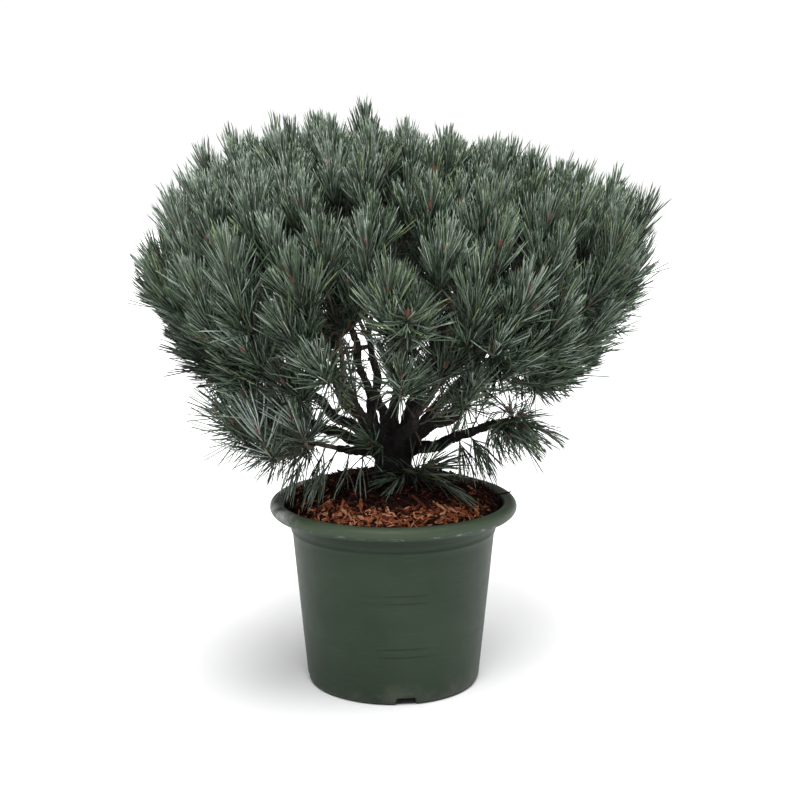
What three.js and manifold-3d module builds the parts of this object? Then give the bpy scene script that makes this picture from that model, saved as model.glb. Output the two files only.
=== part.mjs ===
// A potted Scots pine of a dwarf, bowl-shaped kind: a short trunk that forks just above the soil into a ring
// of boughs, a dome of upright shoots in long paired needles, and a green nursery pot full of bark mulch.
// Millimetres, +Z up, the origin at the centre of the pot's flat underside, -Y towards the viewer.
import * as THREE from 'three';
import { mergeVertices } from 'three/addons/utils/BufferGeometryUtils.js';
import Module from 'manifold-3d';

const wasm = await Module();
wasm.setup();

// Driving dimensions of the pot.
const POT = {
  rimRadius: 190, rimRoll: 11, rimHeight: 278.5, // outer edge, roll radius and roll centre of the lip
  collarRadius: 166, collarHeight: 265.5, // top of the collar that flares out under the lip
  bodyRadius: 157, bodyHeight: 242.6, beadDepth: 1.6, // top of the tapered body and the bead round it
  footRadius: 134, footRound: 8, // foot of the tapered body and the round of its lower edge
  wall: 3, floorLift: 8, // wall thickness and how far the drained floor is raised
  ringInner: 103, padRadius: 46, // the foot ring and the pad in the middle, both flat at ground level
  notchCount: 4, notchWidth: 30, notchAzimuth: -82, // drain notches through the foot ring
  holeCount: 6, holeRadius: 6, segments: 36,
};
const CLEAR = 0.3; // the gap between pieces that touch
const CUT_ROOM = 0.5; // room round a limb where it cuts another, so that flat facets keep the gap

// Driving dimensions of the mulch: a low mound that starts just under the lip, a little higher at the back.
const MULCH = {
  edgeHeight: 286, edgeTilt: 2, edgeDrop: 3, // the mound's edge, how far it tilts, and how far its side drops
  moundHeight: 312, flatRadius: 46, segments: POT.segments,
};

// Driving dimensions of the trunk.
const TRUNK = {
  foot: MULCH.moundHeight + CLEAR, fork: 385, // heights of the flat cut and of the fork
  flareRadius: 38, waistRadius: 28.5, headRadius: 30, // root flare, waist and swollen head
  lobes: 5, lobeDepth: 0.1, lean: [-3, -4], sides: 12,
};

// The crown is laid out round a focus inside the fork. Reach is how far the needle tips stand from it,
// for a few angles above the level, on the left (-X) and on the right (+X).
const FOCUS = new THREE.Vector3(0, 0, 371);
const REACH = [
  { angle: 24, left: 343, right: 330 },
  { angle: 31, left: 432, right: 410 },
  { angle: 37, left: 492, right: 500 },
  { angle: 43, left: 500, right: 548 },
  { angle: 50, left: 528, right: 530 },
  { angle: 57, left: 540, right: 504 },
  { angle: 64, left: 545, right: 505 },
  { angle: 71, left: 538, right: 498 },
  { angle: 80, left: 494, right: 484 },
  { angle: 90, left: 478, right: 478 },
];
const CROWN = {
  shoots: 210, lowestShoot: 25, shootPhase: 183, // shoots spread evenly over the dome
  masses: 34, lowestMass: 29, massPhase: 20, hubShare: 0.62, // masses, and how far out their stems fork
  roughness: 12, wander: 3.2, // uneven reach and angle of the shoots
  leader: { azimuth: 180, angle: 85, rise: 42 }, // the one shoot that stands over the rest
};
// Shoots that stand out on the near side of the crown. The evenly spread shoot nearest to each moves there.
const FRONT_SHOOTS = [
  { azimuth: -87, angle: 35 }, { azimuth: -111, angle: 39 }, { azimuth: -107, angle: 45 },
  { azimuth: -96, angle: 45 }, { azimuth: -138, angle: 57 }, { azimuth: -131, angle: 62 },
  { azimuth: -127, angle: 49 }, { azimuth: -100, angle: 60 }, { azimuth: -167, angle: 36 },
  { azimuth: -85, angle: 57 }, { azimuth: -68, angle: 48 }, { azimuth: -50, angle: 53 },
  { azimuth: -35, angle: 49 }, { azimuth: -72, angle: 35 }, { azimuth: -49, angle: 33 },
  { azimuth: -91, angle: 38 }, { azimuth: -79, angle: 43 }, { azimuth: -53, angle: 41 },
  { azimuth: -139, angle: 32 }, { azimuth: -37, angle: 38 }, { azimuth: -126, angle: 36 },
  { azimuth: -61, angle: 37 },
];
// Low windows in the crown, where the limbs show and light comes through.
const WINDOWS = [
  { azimuth: -97, halfWidth: 9, below: 39 },
  { azimuth: 98, halfWidth: 12, below: 35 },
];

// A shoot with its needles: the twig end that carries them, and how they stand out of it.
const SHOOT = {
  length: 54, needle: 58, bands: 2, coreRadius: 3.1, tipRadius: 1.4,
  splayFoot: 62, splayTip: 16, overhang: 44, // angles from the shoot, and how far needles pass its bud
};
const TWIG = { stemRadius: 4, hubRadius: 3.6, rings: [0.3, 0.54, 0.68, 0.8, 0.9, 1] };

// The boughs: where each points, how far its tip is from the focus, its girth, and how low it starts out.
const BOUGHS = [
  { name: 'bough_right_front', azimuth: -25, angle: 38, reach: 235, foot: 15, tip: 6, start: 373, droop: 12 },
  { name: 'bough_right_low', azimuth: -8, angle: 15, reach: 164, foot: 11, tip: 6, start: 361, droop: 10 },
  { name: 'bough_right_back', azimuth: 27, angle: 41, reach: 235, foot: 10, tip: 5, start: 369, droop: 10 },
  { name: 'bough_back_right', azimuth: 62, angle: 39, reach: 232, foot: 10, tip: 5, start: 370, droop: 10 },
  { name: 'bough_back', azimuth: 104, angle: 43, reach: 230, foot: 10, tip: 5, start: 371, droop: 10 },
  { name: 'bough_back_left', azimuth: 142, angle: 40, reach: 232, foot: 10, tip: 5, start: 369, droop: 10 },
  { name: 'bough_left_arm', azimuth: 179, angle: 25, reach: 268, foot: 10, tip: 5, start: 361, droop: 18 },
  { name: 'bough_left_front', azimuth: -149, angle: 35, reach: 240, foot: 10, tip: 5, start: 374, droop: 8 },
  { name: 'bough_front_left', azimuth: -116, angle: 38, reach: 232, foot: 11, tip: 5, start: 378, droop: 6 },
  { name: 'bough_front', azimuth: -68, angle: 37, reach: 232, foot: 11, tip: 5, start: 373, droop: 10 },
  { name: 'bough_upright_left', azimuth: 168, angle: 71, reach: 262, foot: 8, tip: 4.5, start: 384, droop: 4 },
  { name: 'bough_upright_right', azimuth: 20, angle: 66, reach: 258, foot: 9, tip: 4.5, start: 384, droop: 4 },
  { name: 'bough_upright_front', azimuth: -80, angle: 65, reach: 252, foot: 9, tip: 4.5, start: 384, droop: 4 },
  { name: 'bough_low_left', azimuth: -165, angle: 1, reach: 90, foot: 9, tip: 5.5, start: 360, droop: 3 },
];

// Small masses below the dome. Each grows from a bough's tip or from the trunk, as a stem with shoots along it.
const LOW_MASSES = [
  { name: 'needles_low_left', from: 'bough_low_left', azimuth: -168, angle: 15, length: 140,
    shoots: 9, spread: 62, rise: 14, reach: 58, core: 48 },
  { name: 'needles_low_right', from: 'bough_right_low', azimuth: -12, angle: 6, length: 36,
    shoots: 4, spread: 66, rise: 0, reach: 44, core: 38 },
  { name: 'needles_front_sprout', from: 'trunk', height: 336, azimuth: -50, angle: 4, length: 30,
    shoots: 3, spread: 62, rise: 7, reach: 40, core: 34 },
  { name: 'needles_trunk_sprout', from: 'trunk', height: 370, azimuth: -118, angle: 34, length: 20,
    shoots: 1, spread: 0, rise: 34, reach: 38, core: 32 },
];

const COLOURS = { pot: 0x3d4b40, mulch: 0x6e3a2b, bark: 0x3a2f28, needles: [0x566f64, 0x4d665d, 0x607a6b] };

const radians = THREE.MathUtils.degToRad;
const GOLDEN_ANGLE = Math.PI * (3 - Math.sqrt(5));
const UP = new THREE.Vector3(0, 0, 1);

// Numbers from 0 to 1 that are the same on every run.
function seeded(seed) {
  let state = seed >>> 0;
  return () => {
    state = (Math.imul(state, 1664525) + 1013904223) >>> 0;
    return state / 4294967296;
  };
}

function heading(azimuthDegrees, angleDegrees) {
  const azimuth = radians(azimuthDegrees);
  const angle = radians(angleDegrees);
  return new THREE.Vector3(
    Math.cos(angle) * Math.cos(azimuth), Math.cos(angle) * Math.sin(azimuth), Math.sin(angle));
}

// Geometry into closed solids and back.
function solidFrom(geometry) {
  const bare = geometry.clone();
  bare.deleteAttribute('normal');
  bare.deleteAttribute('uv');
  const merged = mergeVertices(bare, 1e-4);
  return new wasm.Manifold(new wasm.Mesh({
    numProp: 3,
    vertProperties: new Float32Array(merged.attributes.position.array),
    triVerts: new Uint32Array(merged.index.array),
  }));
}

function geometryFrom(solid) {
  const mesh = solid.getMesh();
  return new THREE.BufferGeometry()
    .setAttribute('position', new THREE.BufferAttribute(new Float32Array(mesh.vertProperties), 3))
    .setIndex(new THREE.BufferAttribute(new Uint32Array(mesh.triVerts), 1))
    .toNonIndexed();
}

function indexed(points, triangles) {
  return new THREE.BufferGeometry()
    .setAttribute('position', new THREE.Float32BufferAttribute(points.flatMap((p) => p.toArray()), 3))
    .setIndex(triangles);
}

function largestBody(solid) {
  return solid.decompose().reduce((best, body) => (body.volume() > best.volume() ? body : best));
}

// A closed lathe about Z from a profile of [radius, height] that starts and ends on the axis.
function latheGeometry(profile, segments) {
  const points = profile.map(([radius, height]) => new THREE.Vector2(radius, height));
  return new THREE.LatheGeometry(points, segments).rotateX(Math.PI / 2);
}

// A tapering limb through path points: rings of sides that turn with the path, closed at both ends.
function limb(path, radii, sides) {
  const points = [];
  const triangles = [];
  let across = new THREE.Vector3(1, 0, 0);
  path.forEach((point, i) => {
    const along = path[Math.min(i + 1, path.length - 1)].clone().sub(path[Math.max(i - 1, 0)]).normalize();
    if (Math.abs(along.dot(across)) > 0.9) across = new THREE.Vector3(0, 1, 0);
    across = across.clone().addScaledVector(along, -along.dot(across)).normalize();
    const third = along.clone().cross(across);
    for (let k = 0; k < sides; k += 1) {
      const turn = (2 * Math.PI * k) / sides;
      points.push(point.clone()
        .addScaledVector(across, radii[i] * Math.cos(turn))
        .addScaledVector(third, radii[i] * Math.sin(turn)));
    }
  });
  for (let i = 0; i + 1 < path.length; i += 1) {
    for (let k = 0; k < sides; k += 1) {
      const a = i * sides + k;
      const b = i * sides + ((k + 1) % sides);
      triangles.push(a, b, b + sides, a, b + sides, a + sides);
    }
  }
  const last = (path.length - 1) * sides;
  for (let k = 1; k + 1 < sides; k += 1) {
    triangles.push(0, k + 1, k, last, last + k, last + k + 1);
  }
  return solidFrom(indexed(points, triangles));
}

function curve(start, bend, end, steps) {
  return new THREE.QuadraticBezierCurve3(start, bend, end).getPoints(steps);
}

function taper(from, to, steps) {
  return Array.from({ length: steps + 1 }, (_, i) => from + ((to - from) * i) / steps);
}

// The pot: a tapered body with a bead, a flared collar and a rolled lip, on a notched foot ring.
function potSolid() {
  const profile = [[0, 0], [POT.padRadius, 0], [POT.padRadius + 3, POT.floorLift],
    [POT.ringInner - 3, POT.floorLift], [POT.ringInner, 0]];
  for (let turn = -90; turn <= 0; turn += 45) {
    profile.push([POT.footRadius - POT.footRound * (1 - Math.cos(radians(turn))),
      POT.footRound * (1 + Math.sin(radians(turn)))]);
  }
  profile.push([POT.bodyRadius - 0.6, POT.bodyHeight - 4], [POT.bodyRadius + POT.beadDepth, POT.bodyHeight],
    [POT.bodyRadius + 1, POT.bodyHeight + 5], [POT.collarRadius - 2, POT.collarHeight - 4],
    [POT.collarRadius, POT.collarHeight + 2]);
  const rollCentre = POT.rimRadius - POT.rimRoll;
  for (let turn = -108; turn <= 180; turn += 36) {
    profile.push([rollCentre + POT.rimRoll * Math.cos(radians(turn)),
      POT.rimHeight + POT.rimRoll * Math.sin(radians(turn))]);
  }
  const floorTop = POT.floorLift + POT.wall;
  profile.push([POT.bodyRadius - POT.wall, POT.bodyHeight - 2],
    [POT.footRadius - POT.wall, floorTop + 14], [POT.footRadius - POT.wall - 9, floorTop], [0, floorTop]);
  let pot = solidFrom(latheGeometry(profile, POT.segments));
  for (let i = 0; i < POT.notchCount; i += 1) {
    const azimuth = radians(POT.notchAzimuth + (360 * i) / POT.notchCount);
    const outline = new THREE.Shape([
      new THREE.Vector2(-POT.notchWidth / 2 - 2, -1), new THREE.Vector2(POT.notchWidth / 2 + 2, -1),
      new THREE.Vector2(POT.notchWidth / 2 - 1, POT.floorLift),
      new THREE.Vector2(1 - POT.notchWidth / 2, POT.floorLift)]);
    const notch = new THREE.ExtrudeGeometry(outline, { depth: POT.footRadius, bevelEnabled: false })
      .rotateX(Math.PI / 2)
      .translate(0, POT.footRadius + POT.ringInner - 6, 0)
      .rotateZ(azimuth - Math.PI / 2);
    pot = pot.subtract(solidFrom(notch));
  }
  for (let i = 0; i < POT.holeCount; i += 1) {
    const azimuth = (2 * Math.PI * (i + 0.5)) / POT.holeCount;
    const middle = (POT.padRadius + POT.ringInner) / 2;
    const hole = new THREE.CylinderGeometry(POT.holeRadius, POT.holeRadius, 4 * POT.wall, 8)
      .rotateX(Math.PI / 2)
      .translate(middle * Math.cos(azimuth), middle * Math.sin(azimuth), POT.floorLift + POT.wall / 2);
    pot = pot.subtract(solidFrom(hole));
  }
  return pot;
}

// The mound's height over a point: flat under the trunk, falling to an edge that is tilted up at the back.
function mulchShare(radius) {
  return THREE.MathUtils.clamp((radius - MULCH.flatRadius) / (innerRimRadius() - MULCH.flatRadius), 0, 1) ** 3;
}

function mulchHeight(x, y) {
  const edge = MULCH.edgeHeight + (MULCH.edgeTilt * y) / innerRimRadius();
  return MULCH.moundHeight - (MULCH.moundHeight - edge) * mulchShare(Math.hypot(x, y));
}

function innerRimRadius() {
  return POT.rimRadius - 2 * POT.rimRoll - CLEAR - 1;
}

// The mulch and the root ball under it fill the pot, a hair clear of the wall.
function mulchSolid() {
  const floorTop = POT.floorLift + POT.wall + CLEAR;
  const inset = POT.wall + 2 * CLEAR;
  const profile = [[0, floorTop], [POT.footRadius - inset - 9.4, floorTop],
    [POT.footRadius - inset, floorTop + 14], [POT.bodyRadius - inset, POT.bodyHeight - 2],
    [innerRimRadius(), POT.rimHeight - 2], [innerRimRadius() - 1, MULCH.edgeHeight - MULCH.edgeDrop]];
  for (const share of [0.98, 0.85, 0.65, 0.45, 0.2, 0]) {
    const radius = MULCH.flatRadius + (innerRimRadius() - MULCH.flatRadius) * share;
    profile.push([radius, mulchHeight(radius, 0)]);
  }
  profile.push([0, MULCH.moundHeight]);
  const geometry = latheGeometry(profile, MULCH.segments);
  const points = geometry.attributes.position;
  for (let i = 0; i < points.count; i += 1) {
    if (points.getZ(i) < MULCH.edgeHeight - 2 * MULCH.edgeDrop) continue;
    const [x, y] = [points.getX(i), points.getY(i)];
    points.setZ(i, points.getZ(i) + mulchHeight(x, y) - mulchHeight(Math.hypot(x, y), 0));
  }
  return solidFrom(geometry);
}

// The trunk's centre and radius at a height, with room added all round where it cuts its neighbours.
function trunkRings(room) {
  const height = TRUNK.fork - TRUNK.foot;
  const rings = [[0, TRUNK.flareRadius, 1], [0.12, TRUNK.flareRadius - 5, 0.8],
    [0.32, TRUNK.waistRadius + 0.5, 0.4], [0.6, TRUNK.waistRadius, 0.1],
    [0.85, TRUNK.headRadius, 0], [0.97, 0.8 * TRUNK.headRadius, 0]];
  return rings.map(([share, radius, lobe], i) => ({
    centre: new THREE.Vector3(TRUNK.lean[0] * share, TRUNK.lean[1] * share,
      TRUNK.foot + height * share + (i < 4 ? -room : 2 * room)),
    radius: radius + room, lobe,
  }));
}

function trunkSolid(room = 0) {
  const rings = trunkRings(room);
  const points = [];
  const triangles = [];
  for (const ring of rings) {
    for (let k = 0; k < TRUNK.sides; k += 1) {
      const turn = (2 * Math.PI * k) / TRUNK.sides;
      const radius = ring.radius * (1 + TRUNK.lobeDepth * ring.lobe * Math.cos(TRUNK.lobes * turn + 1));
      const arm = new THREE.Vector3(radius * Math.cos(turn), radius * Math.sin(turn), 0);
      points.push(ring.centre.clone().add(arm));
    }
  }
  for (let i = 0; i + 1 < rings.length; i += 1) {
    for (let k = 0; k < TRUNK.sides; k += 1) {
      const a = i * TRUNK.sides + k;
      const b = i * TRUNK.sides + ((k + 1) % TRUNK.sides);
      triangles.push(a, b, b + TRUNK.sides, a, b + TRUNK.sides, a + TRUNK.sides);
    }
  }
  const foot = points.push(rings[0].centre.clone()) - 1;
  const head = points.push(rings.at(-1).centre.clone().setZ(TRUNK.fork + 2 * room)) - 1;
  const top = (rings.length - 1) * TRUNK.sides;
  for (let k = 0; k < TRUNK.sides; k += 1) {
    const next = (k + 1) % TRUNK.sides;
    triangles.push(foot, next, k, head, top + k, top + next);
  }
  return solidFrom(indexed(points, triangles));
}

// A bough leaves the trunk near its head, runs out a little low and turns up to its tip.
function boughPath(bough) {
  const outward = heading(bough.azimuth, 0);
  const start = new THREE.Vector3(TRUNK.lean[0], TRUNK.lean[1], bough.start)
    .addScaledVector(outward, TRUNK.headRadius - bough.foot - 4);
  const end = FOCUS.clone().addScaledVector(heading(bough.azimuth, bough.angle), bough.reach);
  const down = heading(bough.azimuth, bough.angle - 90);
  const bend = start.clone().lerp(end, 0.5).addScaledVector(down, bough.droop);
  return curve(start, bend, end, 5);
}

function boughSolid(bough, room = 0) {
  const path = boughPath(bough);
  const radii = taper(bough.foot + room, bough.tip + room, path.length - 1);
  const beyond = path.at(-1).clone().sub(path.at(-2)).normalize();
  path.push(path.at(-1).clone().addScaledVector(beyond, 0.7 * bough.tip + room));
  radii.push(0.55 * bough.tip + room);
  return limb(path, radii, 7);
}

// How far the needle tips reach from the focus in one direction.
function reachTowards(direction) {
  const angle = THREE.MathUtils.radToDeg(Math.asin(direction.z));
  const rightness = (1 + direction.x / Math.max(Math.hypot(direction.x, direction.y), 1e-6)) / 2;
  const above = REACH.findIndex((knot) => knot.angle >= angle);
  const high = REACH[above < 0 ? REACH.length - 1 : Math.max(above, 1)];
  const low = REACH[Math.max((above < 0 ? REACH.length - 1 : Math.max(above, 1)) - 1, 0)];
  const share = THREE.MathUtils.clamp((angle - low.angle) / (high.angle - low.angle), 0, 1);
  const left = low.left + (high.left - low.left) * share;
  const right = low.right + (high.right - low.right) * share;
  return left + (right - left) * rightness;
}

// Directions spread evenly over the dome by the golden angle, from the top down.
function spreadDirections(count, lowest, phase, wander, random) {
  return Array.from({ length: count }, (_, i) => {
    const sine = 1 - ((i + 0.5) / count) * (1 - Math.sin(radians(lowest)));
    const angle = THREE.MathUtils.radToDeg(Math.asin(sine)) + (random() - 0.5) * wander;
    const azimuth = phase + THREE.MathUtils.radToDeg(i * GOLDEN_ANGLE)
      + ((random() - 0.5) * wander) / Math.max(Math.cos(radians(angle)), 0.3);
    return { azimuth, angle, direction: heading(azimuth, Math.min(angle, 89)) };
  });
}

function inWindow({ azimuth, angle }) {
  return WINDOWS.some((gap) => {
    const off = ((((azimuth - gap.azimuth) % 360) + 540) % 360) - 180;
    return Math.abs(off) < gap.halfWidth && angle < gap.below;
  });
}

// A shoot ends in its bud and turns up from the way it grew.
function shootAt(bud, outward, lift, length) {
  const axis = outward.clone().addScaledVector(UP, lift).normalize();
  const foot = bud.clone().addScaledVector(axis, -length);
  return { bud, foot, axis, middle: foot.clone().lerp(bud, 0.8) };
}

// The masses of the dome: each has a hub, and a stem that joins it to a bough's tip.
function domeMasses(taken, random) {
  const spots = spreadDirections(CROWN.masses, CROWN.lowestMass, CROWN.massPhase, 2, random);
  return spots.map(({ direction }, i) => {
    const mass = {
      name: `needles_${String(i + 1).padStart(2, '0')}`,
      direction,
      hub: FOCUS.clone().addScaledVector(direction, CROWN.hubShare * reachTowards(direction)),
      shoots: [],
    };
    const carriers = BOUGHS.filter((bough) => bough.angle > 10)
      .map((bough) => ({ bough, limbPath: boughPath(bough) }))
      .sort((a, b) => a.limbPath.at(-1).distanceTo(mass.hub) - b.limbPath.at(-1).distanceTo(mass.hub));
    for (const { bough, limbPath } of carriers.slice(0, 4)) {
      const back = limbPath.at(-2).clone().sub(limbPath.at(-1)).normalize();
      for (let step = 0; step < 9; step += 1) {
        const start = limbPath.at(-1).clone().addScaledVector(back, step * 7);
        const length = start.distanceTo(mass.hub);
        const swing = (step === 0 ? -0.16 : 0.04) * length;
        const bend = start.clone().lerp(mass.hub, 0.5).addScaledVector(back, swing);
        const path = new THREE.QuadraticBezierCurve3(start, bend, mass.hub);
        const pieces = segmentsOf(path.getPoints(3), TWIG.stemRadius, mass);
        const first = pieces[0];
        first.from = first.from.clone().lerp(first.to, (bough.tip - 1) / first.from.distanceTo(first.to));
        if (!standsClear(pieces, taken, bough)) continue;
        mass.path = path;
        taken.push(...pieces);
        return mass;
      }
    }
    return null;
  }).filter((mass) => mass !== null);
}

// Whether new pieces of wood keep clear of all that belongs to others.
function standsClear(pieces, taken, carrier) {
  return pieces.every((piece) => taken.every((other) => (
    other.owner === piece.owner || other.owner === carrier
      || segmentGap(piece.from, piece.to, other.from, other.to) > piece.radius + other.radius + 0.8)));
}

// Each shoot of the dome grows from the mass that suits it best: of its twigs, the first that stands clear.
function growShoots(masses, taken, random) {
  const spots = spreadDirections(CROWN.shoots, CROWN.lowestShoot, CROWN.shootPhase, CROWN.wander, random)
    .filter((spot) => !inWindow(spot));
  for (const { azimuth, angle } of [CROWN.leader, ...FRONT_SHOOTS]) {
    const direction = heading(azimuth, angle);
    const nearest = spots.filter((spot) => !spot.key)
      .reduce((best, spot) => (spot.direction.dot(direction) > best.direction.dot(direction) ? spot : best));
    Object.assign(nearest, { azimuth, angle, direction, key: true });
  }
  for (const spot of spots) {
    const rough = (random() - 0.5) * 2 * CROWN.roughness;
    const rise = spot.direction.z > 0.99 && spot.key ? CROWN.leader.rise : rough * (spot.key ? 0.4 : 1);
    const reach = reachTowards(spot.direction) - SHOOT.overhang + rise;
    const lift = 0.25 + 0.4 * THREE.MathUtils.smoothstep(spot.angle, 26, 42);
    const bud = FOCUS.clone().addScaledVector(spot.direction, reach);
    plantShoot(shootAt(bud, spot.direction, lift, SHOOT.length), spot.direction, masses, taken);
  }
}

// A shoot's twig may leave any of the nearest masses' stems, at the first knot from which it stands clear.
function plantShoot(shoot, direction, masses, taken) {
  const owners = [...masses].sort((a, b) => b.direction.dot(direction) - a.direction.dot(direction));
  for (const mass of owners.slice(0, 4)) {
    const apart = masses.every((other) => other === mass || other.shoots.every((one) => (
      [shoot.foot, shoot.bud].every((point) => inOwnCell(point, shoot, one, 8))
        && [one.foot, one.bud].every((point) => inOwnCell(point, one, shoot, 8)))));
    for (const share of [0.94, 0.84, 0.74, 0.64]) {
      const knot = mass.path.getPoint(share);
      const pieces = [
        { from: knot, to: shoot.foot, radius: SHOOT.coreRadius, owner: mass, bud: shoot.bud },
        { from: shoot.foot, to: shoot.bud, radius: SHOOT.coreRadius, owner: mass, bud: shoot.bud },
      ];
      const crowded = mass.shoots.some((other) => other.share === share
        && other.foot.clone().sub(knot).angleTo(shoot.foot.clone().sub(knot)) < 0.35);
      if (crowded || !apart || !standsClear(pieces, taken, null)) continue;
      taken.push(...pieces);
      mass.shoots.push({ ...shoot, knot, share });
      return;
    }
  }
}

// A low mass: a stem from a bough's tip or the trunk's side, with shoots that fan out to its left and right.
function lowMass(spec) {
  const bough = BOUGHS.find((one) => one.name === spec.from);
  const start = bough ? boughPath(bough).at(-1)
    : new THREE.Vector3(0, 0, spec.height).addScaledVector(heading(spec.azimuth, 0), TRUNK.waistRadius - 7);
  const end = start.clone().addScaledVector(heading(spec.azimuth, spec.angle), spec.length);
  const path = new THREE.QuadraticBezierCurve3(start, start.clone().lerp(end, 0.5), end);
  const shoots = [];
  for (let i = 0; i < spec.shoots; i += 1) {
    const share = spec.shoots === 1 ? 1 : 0.25 + (0.75 * i) / (spec.shoots - 1);
    const sway = i === spec.shoots - 1 ? 0 : spec.spread * (i % 2 ? 1 : -1);
    const outward = heading(spec.azimuth + sway, spec.rise + (i % 3 - 1) * 20);
    const knot = start.clone().lerp(end, 0.97 * share);
    const bud = knot.clone().addScaledVector(outward, spec.reach);
    shoots.push({ ...shootAt(bud, outward, 0.1, spec.core), knot });
  }
  return { name: spec.name, path, shoots };
}

// How near two straight pieces of limb come to each other.
function segmentGap(p1, q1, p2, q2) {
  const d1 = q1.clone().sub(p1);
  const d2 = q2.clone().sub(p2);
  const r = p1.clone().sub(p2);
  const a = d1.dot(d1);
  const e = d2.dot(d2);
  const f = d2.dot(r);
  const c = d1.dot(r);
  const b = d1.dot(d2);
  const denominator = a * e - b * b;
  let s = denominator > 1e-9 ? THREE.MathUtils.clamp((b * f - c * e) / denominator, 0, 1) : 0;
  let t = (b * s + f) / e;
  if (t < 0 || t > 1) {
    t = THREE.MathUtils.clamp(t, 0, 1);
    s = THREE.MathUtils.clamp((b * t - c) / a, 0, 1);
  }
  return p1.clone().addScaledVector(d1, s).distanceTo(p2.clone().addScaledVector(d2, t));
}

function segmentsOf(path, radius, owner) {
  return path.slice(1).map((point, i) => ({ from: path[i], to: point, radius, owner }));
}

// Whether a point lies on a shoot's own side of the plane halfway to another shoot, by at least some room.
function inOwnCell(point, shoot, other, room) {
  return point.distanceToSquared(other.middle) - point.distanceToSquared(shoot.middle)
    > 2 * room * other.middle.distanceTo(shoot.middle);
}

// Whether a needle may grow: inside its shoot's own space, over the mulch and rim, and clear of other wood.
function needleFits(tip, root, shoot, mass, neighbours, wood) {
  const closer = neighbours.every((other) => inOwnCell(tip, shoot, other, 0.6)
    && (mass.shoots.includes(other) || inOwnCell(root, shoot, other, 3)));
  const overPot = Math.hypot(tip.x, tip.y) > POT.rimRadius + 2
    || tip.z > Math.max(mulchHeight(tip.x, tip.y), POT.rimHeight + POT.rimRoll) + 2;
  if (!closer || !overPot) return false;
  return wood.every((piece) => piece.bud === shoot.bud
    || segmentGap(root, tip, piece.from, piece.to) > piece.radius + SHOOT.coreRadius + 0.5);
}

// Draws a triangle of a mesh out into a three-sided tube through rings, each turned half a step from the last.
function drawOut(points, base, rings) {
  let below = base;
  const bands = rings.map(({ centre, axis, radius }) => {
    const upright = Math.abs(axis.z) > 0.9 ? new THREE.Vector3(1, 0, 0) : UP;
    const across = upright.clone().cross(axis).normalize();
    const third = axis.clone().cross(across);
    const middle = centroid(points, below);
    const mean = new THREE.Vector2();
    below.forEach((index, k) => {
      const arm = points[index].clone().sub(middle);
      const turn = Math.atan2(arm.dot(third), arm.dot(across)) - (2 * Math.PI * k) / 3;
      mean.add(new THREE.Vector2(Math.cos(turn), Math.sin(turn)));
    });
    const phase = mean.angle() + Math.PI / 3;
    const ring = [0, 1, 2].map((k) => {
      const turn = phase + (2 * Math.PI * k) / 3;
      return points.push(centre.clone()
        .addScaledVector(across, radius * Math.cos(turn))
        .addScaledVector(third, radius * Math.sin(turn))) - 1;
    });
    const band = ring.flatMap((_, k) => {
      const next = (k + 1) % 3;
      return [[below[k], below[next], ring[k]], [below[next], ring[next], ring[k]]];
    });
    below = ring;
    return band;
  });
  return { bands, cap: below };
}

function centroid(points, face) {
  return face.reduce((sum, i) => sum.add(points[i]), new THREE.Vector3()).divideScalar(3);
}

function normalOf(points, face) {
  const [a, b, c] = face.map((i) => points[i]);
  return b.clone().sub(a).cross(c.clone().sub(a)).normalize();
}

// A shoot drawn out of a face of its mass's stem: a twig, then a slim core whose faces are drawn into needles.
function needledShoot(points, base, shoot, mass, neighbours, wood, random) {
  const rings = [{ centre: shoot.foot, axis: shoot.axis, radius: SHOOT.coreRadius }];
  for (let ring = 1; ring <= SHOOT.bands; ring += 1) {
    const share = ring / SHOOT.bands;
    rings.push({
      centre: shoot.foot.clone().lerp(shoot.bud, share),
      axis: shoot.axis,
      radius: SHOOT.coreRadius + (SHOOT.tipRadius - SHOOT.coreRadius) * share,
    });
  }
  const { bands, cap } = drawOut(points, base, rings);
  const faces = bands[0];
  for (const face of [...bands.slice(1).flat(), cap]) {
    const root = centroid(points, face);
    const height = root.clone().sub(shoot.foot).dot(shoot.axis);
    const share = height / shoot.foot.distanceTo(shoot.bud);
    const outward = root.clone().sub(shoot.foot).addScaledVector(shoot.axis, -height);
    const splay = radians(face === cap ? 0 : SHOOT.splayFoot + (SHOOT.splayTip - SHOOT.splayFoot) * share);
    const way = shoot.axis.clone().multiplyScalar(Math.cos(splay));
    if (outward.length() > 0.01) way.addScaledVector(outward.normalize(), Math.sin(splay));
    const length = SHOOT.needle * (0.88 + 0.24 * random());
    const fits = [1, 0.84, 0.68, 0.52].find((part) => (
      needleFits(root.clone().addScaledVector(way, length * part), root, shoot, mass, neighbours, wood)));
    if (fits === undefined) {
      faces.push(face);
      continue;
    }
    const tip = points.push(root.clone().addScaledVector(way, length * fits)) - 1;
    faces.push([face[0], face[1], tip], [face[1], face[2], tip], [face[2], face[0], tip]);
  }
  return faces;
}

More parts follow.
